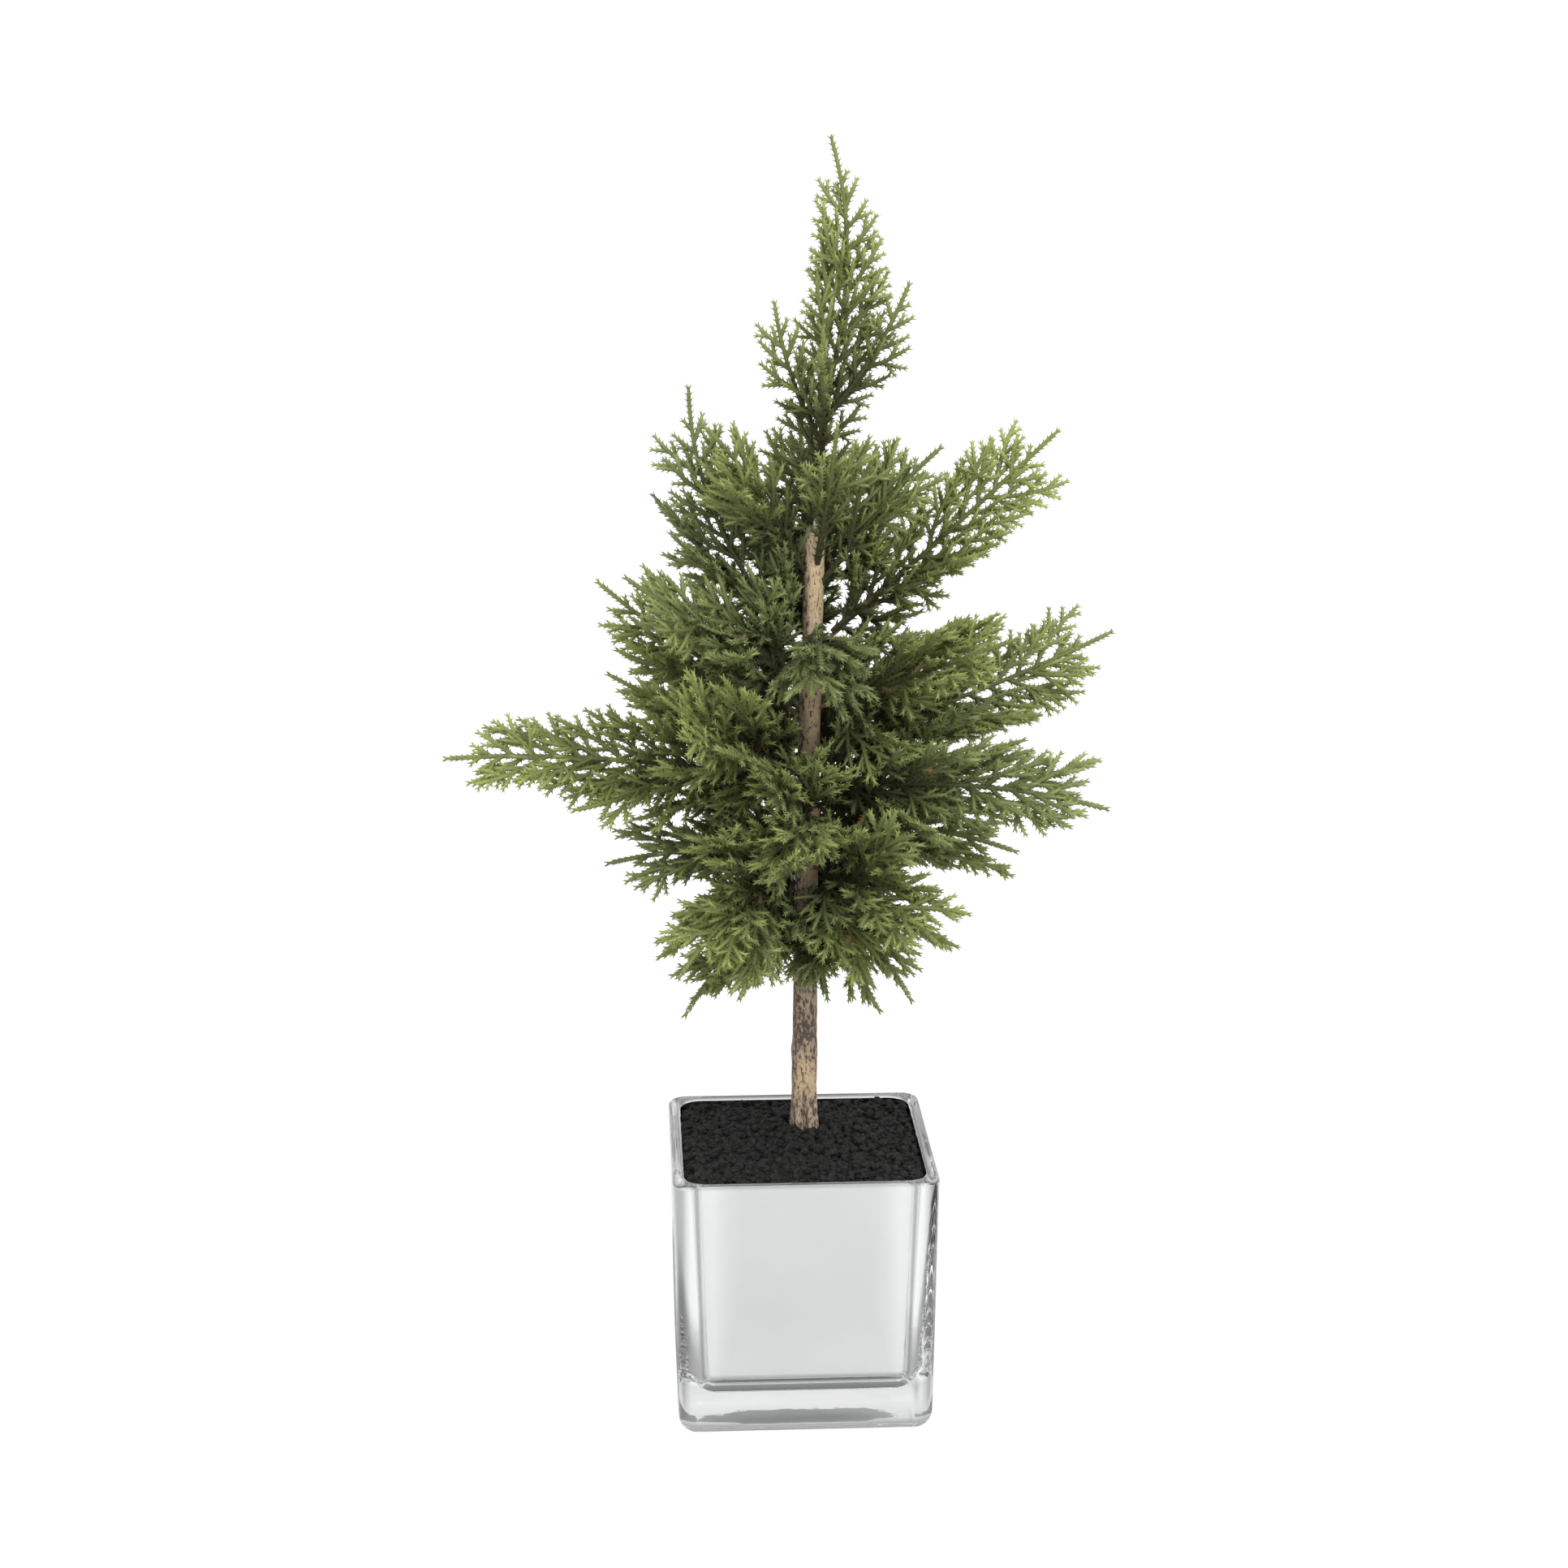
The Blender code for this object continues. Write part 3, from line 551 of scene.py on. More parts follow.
def makeLining():
    bm = bmesh.new()
    gap = potShape["liningGap"]
    roundedTub(bm, cavityFootHalf - gap, cavityTopHalf - gap, liningLow.z, liningHigh.z,
               potShape["cavityCorner"] - gap)
    bmesh.ops.recalc_face_normals(bm, faces=bm.faces)
    lining = addPiece("silver_coat", bm, silverMaterial, mainBody, ["mirror_lining"])
    wall = lining.modifiers.new("coat", "SOLIDIFY")
    wall.thickness = potShape["liningWall"]
    wall.offset = -1.0
    evenShading(lining)


makeGlass()
makeLining()
print("glass cube made")


# Soil: a crumbly skin with loose crumbs on it

soilShape = {
    "cells": 130,
    "corner": 11.0 * mm,
    "play": 0.2 * mm,  # left between the soil and the silver coat
    "edgeLow": 3.5 * mm,  # how far the soil's edge is below its middle
    "raise": 1.3 * mm,
    "mound": 1.5 * mm,  # round the trunk's foot
    "moundBand": (24 * mm, 6 * mm),
    "lumps": ((95.0, 1.0 * mm), (210.0, 2.8 * mm), (520.0, 2.2 * mm)),  # scale and height of the unevenness
    "seed": 7.3,
    "belowRim": 2.0 * mm,
    "freeRadius": 18 * mm,  # nearer the trunk than this the rim doesn't limit the height
    "ringFrom": 0.9,  # the outermost soil sinks a little
    "ringBelow": 0.6 * mm,
    "drawnIn": 0.985,
    "crumbs": 2800,
    "crumbSize": (0.5 * mm, 2.3 * mm),
    "crumbMargin": 1.2 * mm,
}
soilSurface = surfaceOf("soil_layer")
soilLow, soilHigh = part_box("soil_layer")
soilHalf = cavityTopHalf - potShape["liningGap"] - potShape["liningWall"] - soilShape["play"]


def roundedPlace(x, y, half, corner):  # moves a point of a square into the same square with round corners
    core = half - corner
    inner = Vector((clamped(x, -core, core), clamped(y, -core, core)))
    away = Vector((x, y)) - inner
    if away.length > 1e-9:
        reach = max(abs(away.x), abs(away.y))
        away = away.normalized() * reach
    return inner + away


def soilHeight(x, y):
    hit = soilSurface.ray_cast(Vector((x, y, 1.0)), -up)[0]
    reach = math.hypot(x, y)
    height = hit.z if hit else soilHigh.z - soilShape["edgeLow"]
    height += soilShape["raise"] + soilShape["mound"] * softStep(reach, *soilShape["moundBand"])
    for scale, size in soilShape["lumps"]:
        height += noise.noise(Vector((x * scale, y * scale, soilShape["seed"]))) * size
    free = clamped(2 - reach / soilShape["freeRadius"])
    return min(height, mixed(potHigh.z - soilShape["belowRim"], height, free))


def addCrumbs(bm):
    rng = random.Random(11)
    crumbShape = bmesh.new()
    bmesh.ops.create_icosphere(crumbShape, subdivisions=1, radius=1.0)
    crumb = meshOf("crumb", crumbShape)
    rest = restOf(crumb)
    half = soilHalf - soilShape["crumbMargin"]
    for _ in range(soilShape["crumbs"]):
        x, y = (rng.uniform(-1, 1) * half for _ in range(2))
        place = roundedPlace(x, y, half, soilShape["corner"])
        size = mixed(*soilShape["crumbSize"], rng.random() ** 1.8)
        height = soilHeight(place.x, place.y) + size * rng.uniform(-0.3, 0.5)
        turn = Matrix.Rotation(rng.uniform(0, 6.3), 4, "Z") @ Matrix.Rotation(rng.uniform(0, 6.3), 4, "X")
        shape = Matrix.Diagonal((size, size * rng.uniform(0.6, 1.0), size * rng.uniform(0.5, 0.9), 1.0))
        stamp(bm, crumb, rest, Matrix.Translation((place.x, place.y, height)) @ turn @ shape)


def makeSoil():
    bm = bmesh.new()
    bmesh.ops.create_grid(bm, x_segments=soilShape["cells"], y_segments=soilShape["cells"], size=soilHalf)
    for vert in bm.verts:
        place = roundedPlace(vert.co.x, vert.co.y, soilHalf, soilShape["corner"])
        edgeShare = max(abs(vert.co.x), abs(vert.co.y)) / soilHalf
        cast = place * soilShape["drawnIn"]
        sunk = soilShape["ringBelow"] * softStep(edgeShare, soilShape["ringFrom"], 1.0)
        vert.co = Vector((place.x, place.y, soilHeight(cast.x, cast.y) - sunk))
    for element in bmesh.ops.extrude_face_region(bm, geom=list(bm.faces))["geom"]:
        if isinstance(element, bmesh.types.BMVert):
            element.co.z = soilLow.z + soilShape["play"]
    bmesh.ops.recalc_face_normals(bm, faces=bm.faces)
    addCrumbs(bm)
    addPiece("soil_skin", bm, soilMaterial, mainBody, ["soil_layer"], smooth=False)


makeSoil()
print("soil made")


# Trunk: a bark sleeve

trunkShape = {
    "sides": 64,
    "rings": 200,
    "buried": 8 * mm,
    "sections": 40,  # where the CAD sleeve is measured, and with how many rays
    "rays": 16,
    "inset": 1 * mm,
    "flare": 30.0 * mm,
    "longGrain": (260, 55),  # scale across and along
    "shortGrain": (620, 240),
    "ridge": 0.32 * mm,
    "lobes": (4, 0.75 * mm),
    "groove": (0.22, 1.3 * mm),
    "knotHeight": 33.0 * mm,  # above the soil
    "knotLength": 3.5 * mm,
    "wornEdge": (0.7 * mm, 0.6 * mm),
}
trunkSurface = surfaceOf("trunk")
trunkLow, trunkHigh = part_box("trunk")
soilTop = soilHigh.z


def trunkSection(height):  # the centre and the radius of the CAD sleeve at a height
    height = clamped(height, trunkLow.z + trunkShape["inset"], trunkHigh.z - trunkShape["inset"])
    centre = Vector(((trunkLow.x + trunkHigh.x) / 2, (trunkLow.y + trunkHigh.y) / 2, height))
    for _ in range(3):
        hits = []
        for step in range(trunkShape["rays"]):
            ray = turned(Vector((1, 0, 0)), up, step * 360 / trunkShape["rays"])
            hit = trunkSurface.ray_cast(centre + ray * 0.03, -ray)[0]
            if hit:
                hits.append(hit)
        xs, ys = [hit.x for hit in hits], [hit.y for hit in hits]
        centre = Vector(((max(xs) + min(xs)) / 2, (max(ys) + min(ys)) / 2, height))
        radius = float(np.median([(hit - centre).length for hit in hits]))
    return centre, radius


sectionCount = trunkShape["sections"]
trunkTable = [trunkSection(mixed(trunkLow.z, trunkHigh.z, i / sectionCount)) for i in range(sectionCount + 1)]


def trunkAt(height):
    share = clamped((height - trunkLow.z) / (trunkHigh.z - trunkLow.z)) * sectionCount
    first = min(sectionCount - 1, int(share))
    (centre, radius), (nextCentre, nextRadius) = trunkTable[first], trunkTable[first + 1]
    centre = centre.lerp(nextCentre, share - first)
    return Vector((centre.x, centre.y, height)), mixed(radius, nextRadius, share - first)


def fromFront(angle):  # how far round from the front, between minus and plus half a turn
    front = angle + math.pi / 2
    return math.atan2(math.sin(front), math.cos(front))


def barkRelief(angle, height, radius):  # how far the bark stands out from the sleeve
    x, y = math.cos(angle) * radius, math.sin(angle) * radius
    (longAcross, longAlong), (shortAcross, shortAlong) = trunkShape["longGrain"], trunkShape["shortGrain"]
    long = noise.noise(Vector((x * longAcross, y * longAcross, height * longAlong)))
    short = noise.noise(Vector((x * shortAcross + 9, y * shortAcross, height * shortAlong)))
    relief = (long + 0.55 * short) * trunkShape["ridge"]
    above = height - soilTop
    root = 1 - softStep(above, 0.0, trunkShape["flare"])
    (lobeCount, lobeDepth), (grooveWidth, grooveDepth) = trunkShape["lobes"], trunkShape["groove"]
    lobes = math.cos(lobeCount * (angle + math.pi / 2) + math.pi) * lobeDepth
    relief += root * (lobes - bell(fromFront(angle), grooveWidth) * grooveDepth)
    knot = bell(above - trunkShape["knotHeight"], trunkShape["knotLength"])
    return relief + knot * (0.25 + 0.2 * math.sin(3 * angle)) * mm


def barkTones(angle, above, below):  # the painted zones: how dark and how pale the bark is. The darker left side and the groove are painted shade, and the paler right side of the bare bark is painted light
    front = fromFront(angle)
    # painted shade: the left side, away from the key lamp, is darker and greyer
    left = softStep(-math.cos(angle), 0.2, 0.9)
    knotBand = bell(above - trunkShape["knotHeight"] - 9 * mm, 7 * mm)
    # painted shade in the groove at the front of the trunk's foot
    groove = bell(front, 0.2) * (1 - softStep(above, 4 * mm, 22 * mm))
    bare = softStep(above, 60 * mm, 110 * mm)
    cutTop = math.exp(-below / (5 * mm))
    patch = bell(front, 0.8) * bell(above - 24 * mm, 7 * mm)
    shade = clamped(0.25 + 0.5 * left + 0.9 * knotBand + 1.2 * groove - 0.3 * bare + 0.5 * cutTop)
    # painted light: the bare bark higher up is paler on the right, lit side
    return shade, clamped(patch * 1.2 + 0.85 * bare * (1 - left) - groove)


def makeTrunk():
    bm = bmesh.new()
    bmesh.ops.create_cone(bm, cap_ends=True, segments=trunkShape["sides"], radius1=1.0, radius2=1.0,
                          depth=1.0)
    uprights = [edge for edge in bm.edges if abs(edge.verts[0].co.z - edge.verts[1].co.z) > 0.5]
    bmesh.ops.subdivide_edges(bm, edges=uprights, cuts=trunkShape["rings"], use_grid_fill=True)
    wear, wearLength = trunkShape["wornEdge"]
    tones = []
    for vert in bm.verts:
        angle = math.atan2(vert.co.y, vert.co.x)
        height = mixed(soilTop - trunkShape["buried"], trunkHigh.z, vert.co.z + 0.5)
        centre, radius = trunkAt(height)
        below = trunkHigh.z - height
        reach = radius + barkRelief(angle, height, radius) - wear * math.exp(-below / wearLength)
        vert.co = centre + Vector((math.cos(angle), math.sin(angle), 0)) * reach
        tones.append(barkTones(angle, height - soilTop, below))
    bmesh.ops.recalc_face_normals(bm, faces=bm.faces)
    trunk = addPiece("bark_sleeve", bm, barkMaterial, mainBody, ["trunk"], sharpFrom=60)
    for name, values in zip(("shade", "pale"), zip(*tones)):
        trunk.data.attributes.new(name, "FLOAT", "POINT").data.foreach_set("value", values)


makeTrunk()
print("trunk made")


# Foliage: each spray is a stem with side twigs, all made of one small toothed link

twigShape = {
    "step": 2.1 * mm,  # from one link to the next
    "length": 2.35 * mm,
    "foot": 0.76 * mm,  # a link's radius at its foot and at its top
    "top": 0.93 * mm,
    "toothLength": 2.2 * mm,
    "toothHalf": 0.48 * mm,
    "toothOut": 0.35 * mm,
    "taper": (1.08, 0.18),  # a twig's first size, and what it loses by its end
    "newerAndLighter": 0.30,  # how much newer, and less in painted shade, a twig's end is than its start
    "forkEvery": (2, 2, 3, 3),  # links between side twigs, by level
    "forkAngle": (32, 44),
    "forkRoll": 28,
    "forkOut": 0.6 * mm,
    "forkLengths": (0.45, 0.8),
    "shortest": 4.5 * mm,  # no side twigs on less than this
    "straighten": 0.06,
    "wander": 0.03,
    "tintPlay": 0.06,
    "twigSize": (1.15, 0.96, 0.90, 0.86),
    "longest": (1.0, 30 * mm, 12 * mm, 5 * mm),
    "levels": 3,
}
linkShapes = {  # sides, width of the top, and the teeth: direction, place on the link, lean from the twig
    "link": (6, 1.0, (((1, 0), 0.72, 46), ((-1, 0), 0.72, 46), ((0, 1), 0.25, 46), ((0, -1), 0.25, 46))),
    "tip": (5, 0.6, (((1, 0), 0.85, 34), ((-1, 0), 0.85, 34), ((0, 1), 0.7, 26), ((0.3, -1), 0.9, 16))),
}
stemShape = {
    "startGrowthAndShade": 0.05,
    "endGrowthAndShade": 0.6,
    "oldWood": 0.06,  # a stem whose growth starts below this has the thicker foot
    "footSizes": (1.5, 1.2),
    "topSize": 0.95,
    "thinBy": 0.55,
    "bareEnd": 3 * mm,
    "ending": (0.15, 1.3),  # where the side twigs shorten, as shares of the bare tip
    "reachPlay": (0.78, 1.12),
    "dryChance": 0.03,
    "shortestSide": 2.5 * mm,
    "sideTintPlay": (-0.12, 0.12),
    "bushyAround": (50, 130),
    "bushyForward": (0.6, 1.0),
    "bushyOut": 0.9,
    "bushyLengths": (0.45, 0.8),
    "bushyRange": (4 * mm, 17 * mm),
    "bushyTintPlay": (-0.15, 0.1),
}
sprayShape = {
    "widen": 1.15,  # the foliage stands out past the plain solid
    "widenBy": 2.5 * mm,
    "angle": (36, 50),
    "lift": 22,
    "bushy": 0.5,
    "bareTip": 24 * mm,
    "bareStem": 4 * mm,
    "rootReach": 2.2 * mm,
    "stations": 12,
    "stationReach": 0.08,
    # painted light: these outer sprays take a lighter, greener tint, as if lit more than the rest
    "paintedLitSprays": ("spray_wide_6", "spray_wide_5", "spray_upper_1", "spray_low_7", "spray_crown_1"),
}
frondShape = {  # the smaller fronds that grow from a spray's stem, above, below and beside it
    "beside": {"swing": (14, 52), "rise": (12, 40), "lengths": (0.42, 0.70)},
    "front": {"swing": (8, 62), "rise": (20, 62), "lengths": (0.42, 0.74)},  # these hide the trunk
    "inner": {"swing": (10, 60), "rise": (28, 75), "lengths": (24 * mm, 42 * mm)},
    "count": {"skirt": 5, "low": 6, "wide": 7, "upper": 3, "crown": 3},
    "innerCount": {"skirt": 1, "low": 5, "wide": 5, "upper": 5, "crown": 1},
    "frontCount": 8,
    "frontFrom": -0.7,
    "longestSpray": 86 * mm,  # a longer spray's fronds are no longer than this one's
    "bareTrunk": (312 * mm, 350 * mm),
    "bareHalf": 13 * mm,
    "starts": (0.03, 0.32),
    "innerStarts": (0.0, 0.12),
    # painted shade: the fronds round the trunk take a darker tint
    "innerPaintedShade": 0.2,
    "tilt": 50,
    "half": 11 * mm,
    "angle": (34, 48),
    "lift": 25,
    "bushy": 0.25,
    "bareTip": 14 * mm,
    "bareStem": 2.5 * mm,
}


def addTooth(bm, height, outward, lean):
    length = twigShape["toothLength"]
    heading = turned(up, outward.cross(up), -lean)
    made = bmesh.ops.create_cone(bm, cap_ends=False, segments=3, radius1=twigShape["toothHalf"], radius2=0.0,
                                 depth=length)["verts"]
    place = up * height + outward * twigShape["toothOut"] + heading * length / 2
    turn = heading.to_track_quat("Z", "Y").to_matrix().to_4x4()
    bmesh.ops.transform(bm, matrix=Matrix.Translation(place) @ turn, verts=made)


def makeLink(name):
    sides, topWidth, teeth = linkShapes[name]
    length = twigShape["length"]
    bm = bmesh.new()
    bmesh.ops.create_cone(bm, cap_ends=False, segments=sides, radius1=twigShape["foot"],
                          radius2=twigShape["top"] * topWidth, depth=length)
    bmesh.ops.translate(bm, verts=bm.verts, vec=(0, 0, length / 2))
    for direction, share, lean in teeth:
        addTooth(bm, share * length, Vector((*direction, 0)).normalized(), lean)
    return meshOf(name, bm)


linkMesh, tipMesh = makeLink("link"), makeLink("tip")
linkRest = {template: restOf(template) for template in (linkMesh, tipMesh)}


def addLink(links, place, forward, face, size, growthAndShade, tint, dry=0.0, last=False):
    side = face.cross(forward).normalized()
    face = forward.cross(side)
    basis = Matrix((side * size, face * size, forward * size)).transposed().to_4x4()
    links.append((tipMesh if last else linkMesh, Matrix.Translation(place) @ basis, growthAndShade, tint, dry))


def growTwig(links, rng, place, forward, aim, face, length, level, growthAndShade, tint, dry=0.0):
    size = twigShape["twigSize"][level]
    step = twigShape["step"] * size
    count = max(2, round(length / step))
    every = twigShape["forkEvery"][level]
    taperFrom, taperBy = twigShape["taper"]
    side = rng.choice((-1, 1))
    first = rng.randint(1, 2)
    for index in range(count):
        share = index / count
        here = clamped(growthAndShade + twigShape["newerAndLighter"] * share)
        narrowed = taperFrom - taperBy * share
        addLink(links, place, forward, face, size * narrowed, here, tint, dry if index < 3 else 0.0,
                index == count - 1)
        left = (count - index) * step
        forks = index >= first and (index - first) % every == 0
        if level < twigShape["levels"] and forks and left > twigShape["shortest"]:
            childLength = min(left * rng.uniform(*twigShape["forkLengths"]), twigShape["longest"][level + 1])
            heading = turned(forward, face, side * rng.uniform(*twigShape["forkAngle"]))
            roll = rng.uniform(-twigShape["forkRoll"], twigShape["forkRoll"])
            heading = turned(heading, forward, roll)
            childTint = clamped(tint + rng.uniform(-twigShape["tintPlay"], twigShape["tintPlay"]))
            growTwig(links, rng, place + forward * twigShape["forkOut"], heading, forward,
                     turned(face, forward, roll * 0.6), childLength, level + 1, here, childTint)
            side = -side
        place = place + forward * step * narrowed
        wander = Vector([rng.uniform(-1, 1) for _ in range(3)]) * twigShape["wander"]
        forward = (forward.lerp(aim, twigShape["straighten"]) + wander).normalized()


# A twig at the side of a stem.
def growSide(links, rng, place, forward, face, side, half, left, share, growthAndShade, tone, settings):
    ending = softStep(left, *(part * settings["bareTip"] for part in stemShape["ending"]))
    angle = rng.uniform(*settings["angle"])
    reach = half / math.sin(math.radians(angle)) * rng.uniform(*stemShape["reachPlay"]) * ending
    lift = rng.uniform(-1, 1) * settings["lift"]
    heading = turned(turned(forward, face, side * angle), forward, lift)
    dry = settings.get("dry", 0.5) if rng.random() < stemShape["dryChance"] and share < 0.5 else 0.0
    if reach > stemShape["shortestSide"]:
        tint = clamped(tone + rng.uniform(*stemShape["sideTintPlay"]))
        growTwig(links, rng, place, heading, forward, turned(face, forward, lift * 0.7),
                 min(reach, twigShape["longest"][1]), 1, growthAndShade, tint, dry)


# A twig that stands out above or below a stem.
def growBushy(links, rng, place, forward, face, half, growthAndShade, tone):
    around = rng.choice((-1, 1)) * rng.uniform(*stemShape["bushyAround"])
    outward = turned(face, forward, around - 90)
    ahead = rng.uniform(*stemShape["bushyForward"])
    heading = (forward * ahead + outward * stemShape["bushyOut"]).normalized()
    shortest, longest = stemShape["bushyRange"]
    reach = min(half * rng.uniform(*stemShape["bushyLengths"]), longest)
    if reach > shortest:
        tint = clamped(tone + rng.uniform(*stemShape["bushyTintPlay"]))
        growTwig(links, rng, place, heading, forward, turned(face, forward, around), reach, 1, growthAndShade, tint)


def growStem(links, rng, lineAt, halfAt, length, tone, settings, startGrowthAndShade=stemShape["startGrowthAndShade"]):
    side = rng.choice((-1, 1))
    footSize = stemShape["footSizes"][0 if startGrowthAndShade < stemShape["oldWood"] else 1]
    travelled, count = 0.0, 0
    while travelled < length:
        share = travelled / length
        place, forward, face = lineAt(share)
        size = mixed(footSize, stemShape["topSize"], softStep(share, 0.0, stemShape["thinBy"]))
        growthAndShade = mixed(startGrowthAndShade, stemShape["endGrowthAndShade"], share)
        left = length - travelled
        last = travelled + twigShape["step"] * size >= length
        addLink(links, place, forward, face, size, growthAndShade, tone, last=last)
        if travelled > settings["bareStem"] and left > stemShape["bareEnd"]:
            if count % 2 == 0:
                growSide(links, rng, place, forward, face, side, halfAt(share), left, share, growthAndShade, tone,
                         settings)
                side = -side
            elif rng.random() < settings["bushy"] and share < settings.get("bushyTo", 0.6):
                growBushy(links, rng, place, forward, face, halfAt(share), growthAndShade, tone)
        travelled += twigShape["step"] * size
        count += 1


def addFoliage(name, links, body, replaced):
    bm = bmesh.new()
    for template, matrix, *_ in links:
        stamp(bm, template, linkRest[template], matrix)
    piece = addPiece(name, bm, leafMaterial, body, replaced)
    counts = [len(link[0].vertices) for link in links]
    for column, attribute in ((2, "growthAndShade"), (3, "tint"), (4, "dry")):
        values = np.repeat([link[column] for link in links], counts).astype(np.float32)
        piece.data.attributes.new(attribute, "FLOAT", "POINT").data.foreach_set("value", values)


def powersOf(share):
    return np.array([share ** 3, share ** 2, share, 1.0])


def readSpray(name):  # the middle line, the sideways direction and the half widths of a CAD spray
    points = np.array([vert.co for vert in nodes[name].data.vertices])
    offsets = np.array([trunkAt(z)[0] for z in points[:, 2]])
    nearest = points[np.argmin(np.linalg.norm((points - offsets)[:, :2], axis=1))]
    root = points[np.linalg.norm(points - nearest, axis=1) < sprayShape["rootReach"]].mean(axis=0)
    reach = np.linalg.norm(points - root, axis=1)
    length = reach.max()
    shares = reach / length
    curve = np.polyfit(shares, points, 3)
    spread = points - np.stack([powersOf(share) @ curve for share in shares])
    sideways = np.linalg.svd(spread, full_matrices=False)[2][0]
    across = np.abs(spread @ sideways)
    stations = np.linspace(0, 1, sprayShape["stations"])
    near = sprayShape["stationReach"]
    halves = [max(across[np.abs(shares - station) < near], default=0.0) for station in stations]

    def lineAt(share):
        place = powersOf(share) @ curve + (root - powersOf(0) @ curve) * (1 - share) ** 4
        ahead = powersOf(min(1.0, share + 0.05)) @ curve
        behind = powersOf(max(0.0, share - 0.05)) @ curve
        forward = Vector(ahead - behind).normalized()
        side = Vector(sideways)
        side = (side - forward * side.dot(forward)).normalized()
        return Vector(place), forward, forward.cross(side)

    def halfAt(share):
        half = float(np.interp(share, stations, halves))
        swell = math.sin(math.pi * clamped(share, 0.05, 0.95))
        return half * sprayShape["widen"] + sprayShape["widenBy"] * swell

    return lineAt, halfAt, float(length)


def bentLine(start, heading, aim, face, length):  # a stem that starts along heading and bends towards aim
    def lineAt(share):
        middle = heading.lerp(aim, share * 0.5).normalized()
        forward = heading.lerp(aim, share).normalized()
        side = face.cross(forward).normalized()
        return start + middle * share * length, forward, forward.cross(side)

    return lineAt


def hidesTrunk(place):  # some of the trunk shows in front, just under its top
    centre = trunkAt(place.z)[0]
    low, high = frondShape["bareTrunk"]
    return low < place.z < high and abs(place.x - centre.x) < frondShape["bareHalf"] and place.y < centre.y


def frondHalf(share):
    return frondShape["half"] * math.sin(math.pi * mixed(0.16, 0.97, share)) ** 0.8


def growFrond(links, rng, lineAt, share, side, rise, length, tone, kind):
    start, forward, face = lineAt(share)
    heading = turned(forward, up, side * rng.uniform(*kind["swing"]))
    level = heading.cross(up).normalized()
    heading = turned(heading, level, rise * rng.uniform(*kind["rise"]))
    aim = (forward + heading * 0.8 + up * rng.uniform(-0.1, 0.35)).normalized()
    face = turned(level.cross(heading), heading, rng.uniform(-frondShape["tilt"], frondShape["tilt"]))
    frondLine = bentLine(start, heading, aim, face, length)
    if any(hidesTrunk(frondLine(place)[0]) for place in (0.3, 0.6, 0.9)):
        return
    tint = clamped(tone + rng.uniform(-0.2, 0.2))
    startGrowthAndShade = stemShape["startGrowthAndShade"] + share * 0.4
    growStem(links, rng, frondLine, frondHalf, length, tint, frondShape, startGrowthAndShade)


def growFronds(links, rng, lineAt, length, tone, tier):
    inFront = lineAt(0.2)[1].y < frondShape["frontFrom"]
    count = frondShape["frontCount"] if inFront else frondShape["count"][tier]
    kind = frondShape["front" if inFront else "beside"]
    length = min(length, frondShape["longestSpray"])
    side, rise = rng.choice((-1, 1)), rng.choice((-1, 1))
    for number in range(count):
        share = mixed(*frondShape["starts"], (number + rng.random()) / count)
        growFrond(links, rng, lineAt, share, side, rise, length * rng.uniform(*kind["lengths"]), tone, kind)
        side = -side
        rise = -rise if number % 2 == 0 else rise
    kind = frondShape["inner"]  # these fill the space round the trunk and are tinted darker as painted shade
    for number in range(frondShape["innerCount"][tier]):
        share = rng.uniform(*frondShape["innerStarts"])
        growFrond(links, rng, lineAt, share, side, rise, rng.uniform(*kind["lengths"]),
                  tone - frondShape["innerPaintedShade"], kind)
        side = -side
        rise = -rise if number % 2 == 1 else rise


def makeSprays():
    total = 0
    for number, name in enumerate(sorted(name for name in nodes if name.startswith("spray_"))):
        rng = random.Random(100 + number)
        lineAt, halfAt, length = readSpray(name)
        # the listed sprays get a lighter tint as painted light
        tone = clamped(0.5 + rng.uniform(-0.3, 0.3) + (0.3 if name in sprayShape["paintedLitSprays"] else 0.0))
        links = []
        growStem(links, rng, lineAt, halfAt, length, tone, sprayShape)
        growFronds(links, rng, lineAt, length, tone, name.split("_")[1])
        addFoliage(name.replace("spray", "foliage"), links, bodyOf[name], [name])
        total += len(links)
    print("sprays made, links:", total)


makeSprays()

leaderShape = {
    # the stem's line: share of its height, and how far it has moved sideways
    "line": ((0.0, 0.0), (0.14, 1.5 * mm), (0.32, 4.0 * mm), (0.53, 9.5 * mm), (0.70, 11.5 * mm),
             (0.87, 10.0 * mm), (1.0, 5.5 * mm)),
    # half the width of the foliage by share of the height
    "halves": ((0.0, 14 * mm), (0.25, 17 * mm), (0.5, 17 * mm), (0.68, 15 * mm), (0.78, 11 * mm),
               (0.86, 4 * mm), (1.0, 0.0)),
    # side forks: height above the trunk, azimuth, pitch at the start and at the tip, length
    "forks": ((30 * mm, 184, 60, 82, 54 * mm), (40 * mm, 356, 48, 68, 56 * mm),
              (26 * mm, 268, 60, 78, 52 * mm), (32 * mm, 88, 60, 76, 52 * mm)),
    "angle": (34, 50),
    "lift": 26,
    "bushy": 0.5,
    "bushyTo": 0.85,
    "dry": 1.0,
    "bareTip": 22 * mm,
    "bareStem": 3 * mm,
}
forkShape = {
    "half": 10 * mm,
    "angle": (34, 46),
    "lift": 25,
    "bushy": 0.2,
    "bareTip": 12 * mm,
    "bareStem": 2 * mm,
}


def forkHalf(share):
    return forkShape["half"] * math.sin(math.pi * mixed(0.2, 0.97, share))


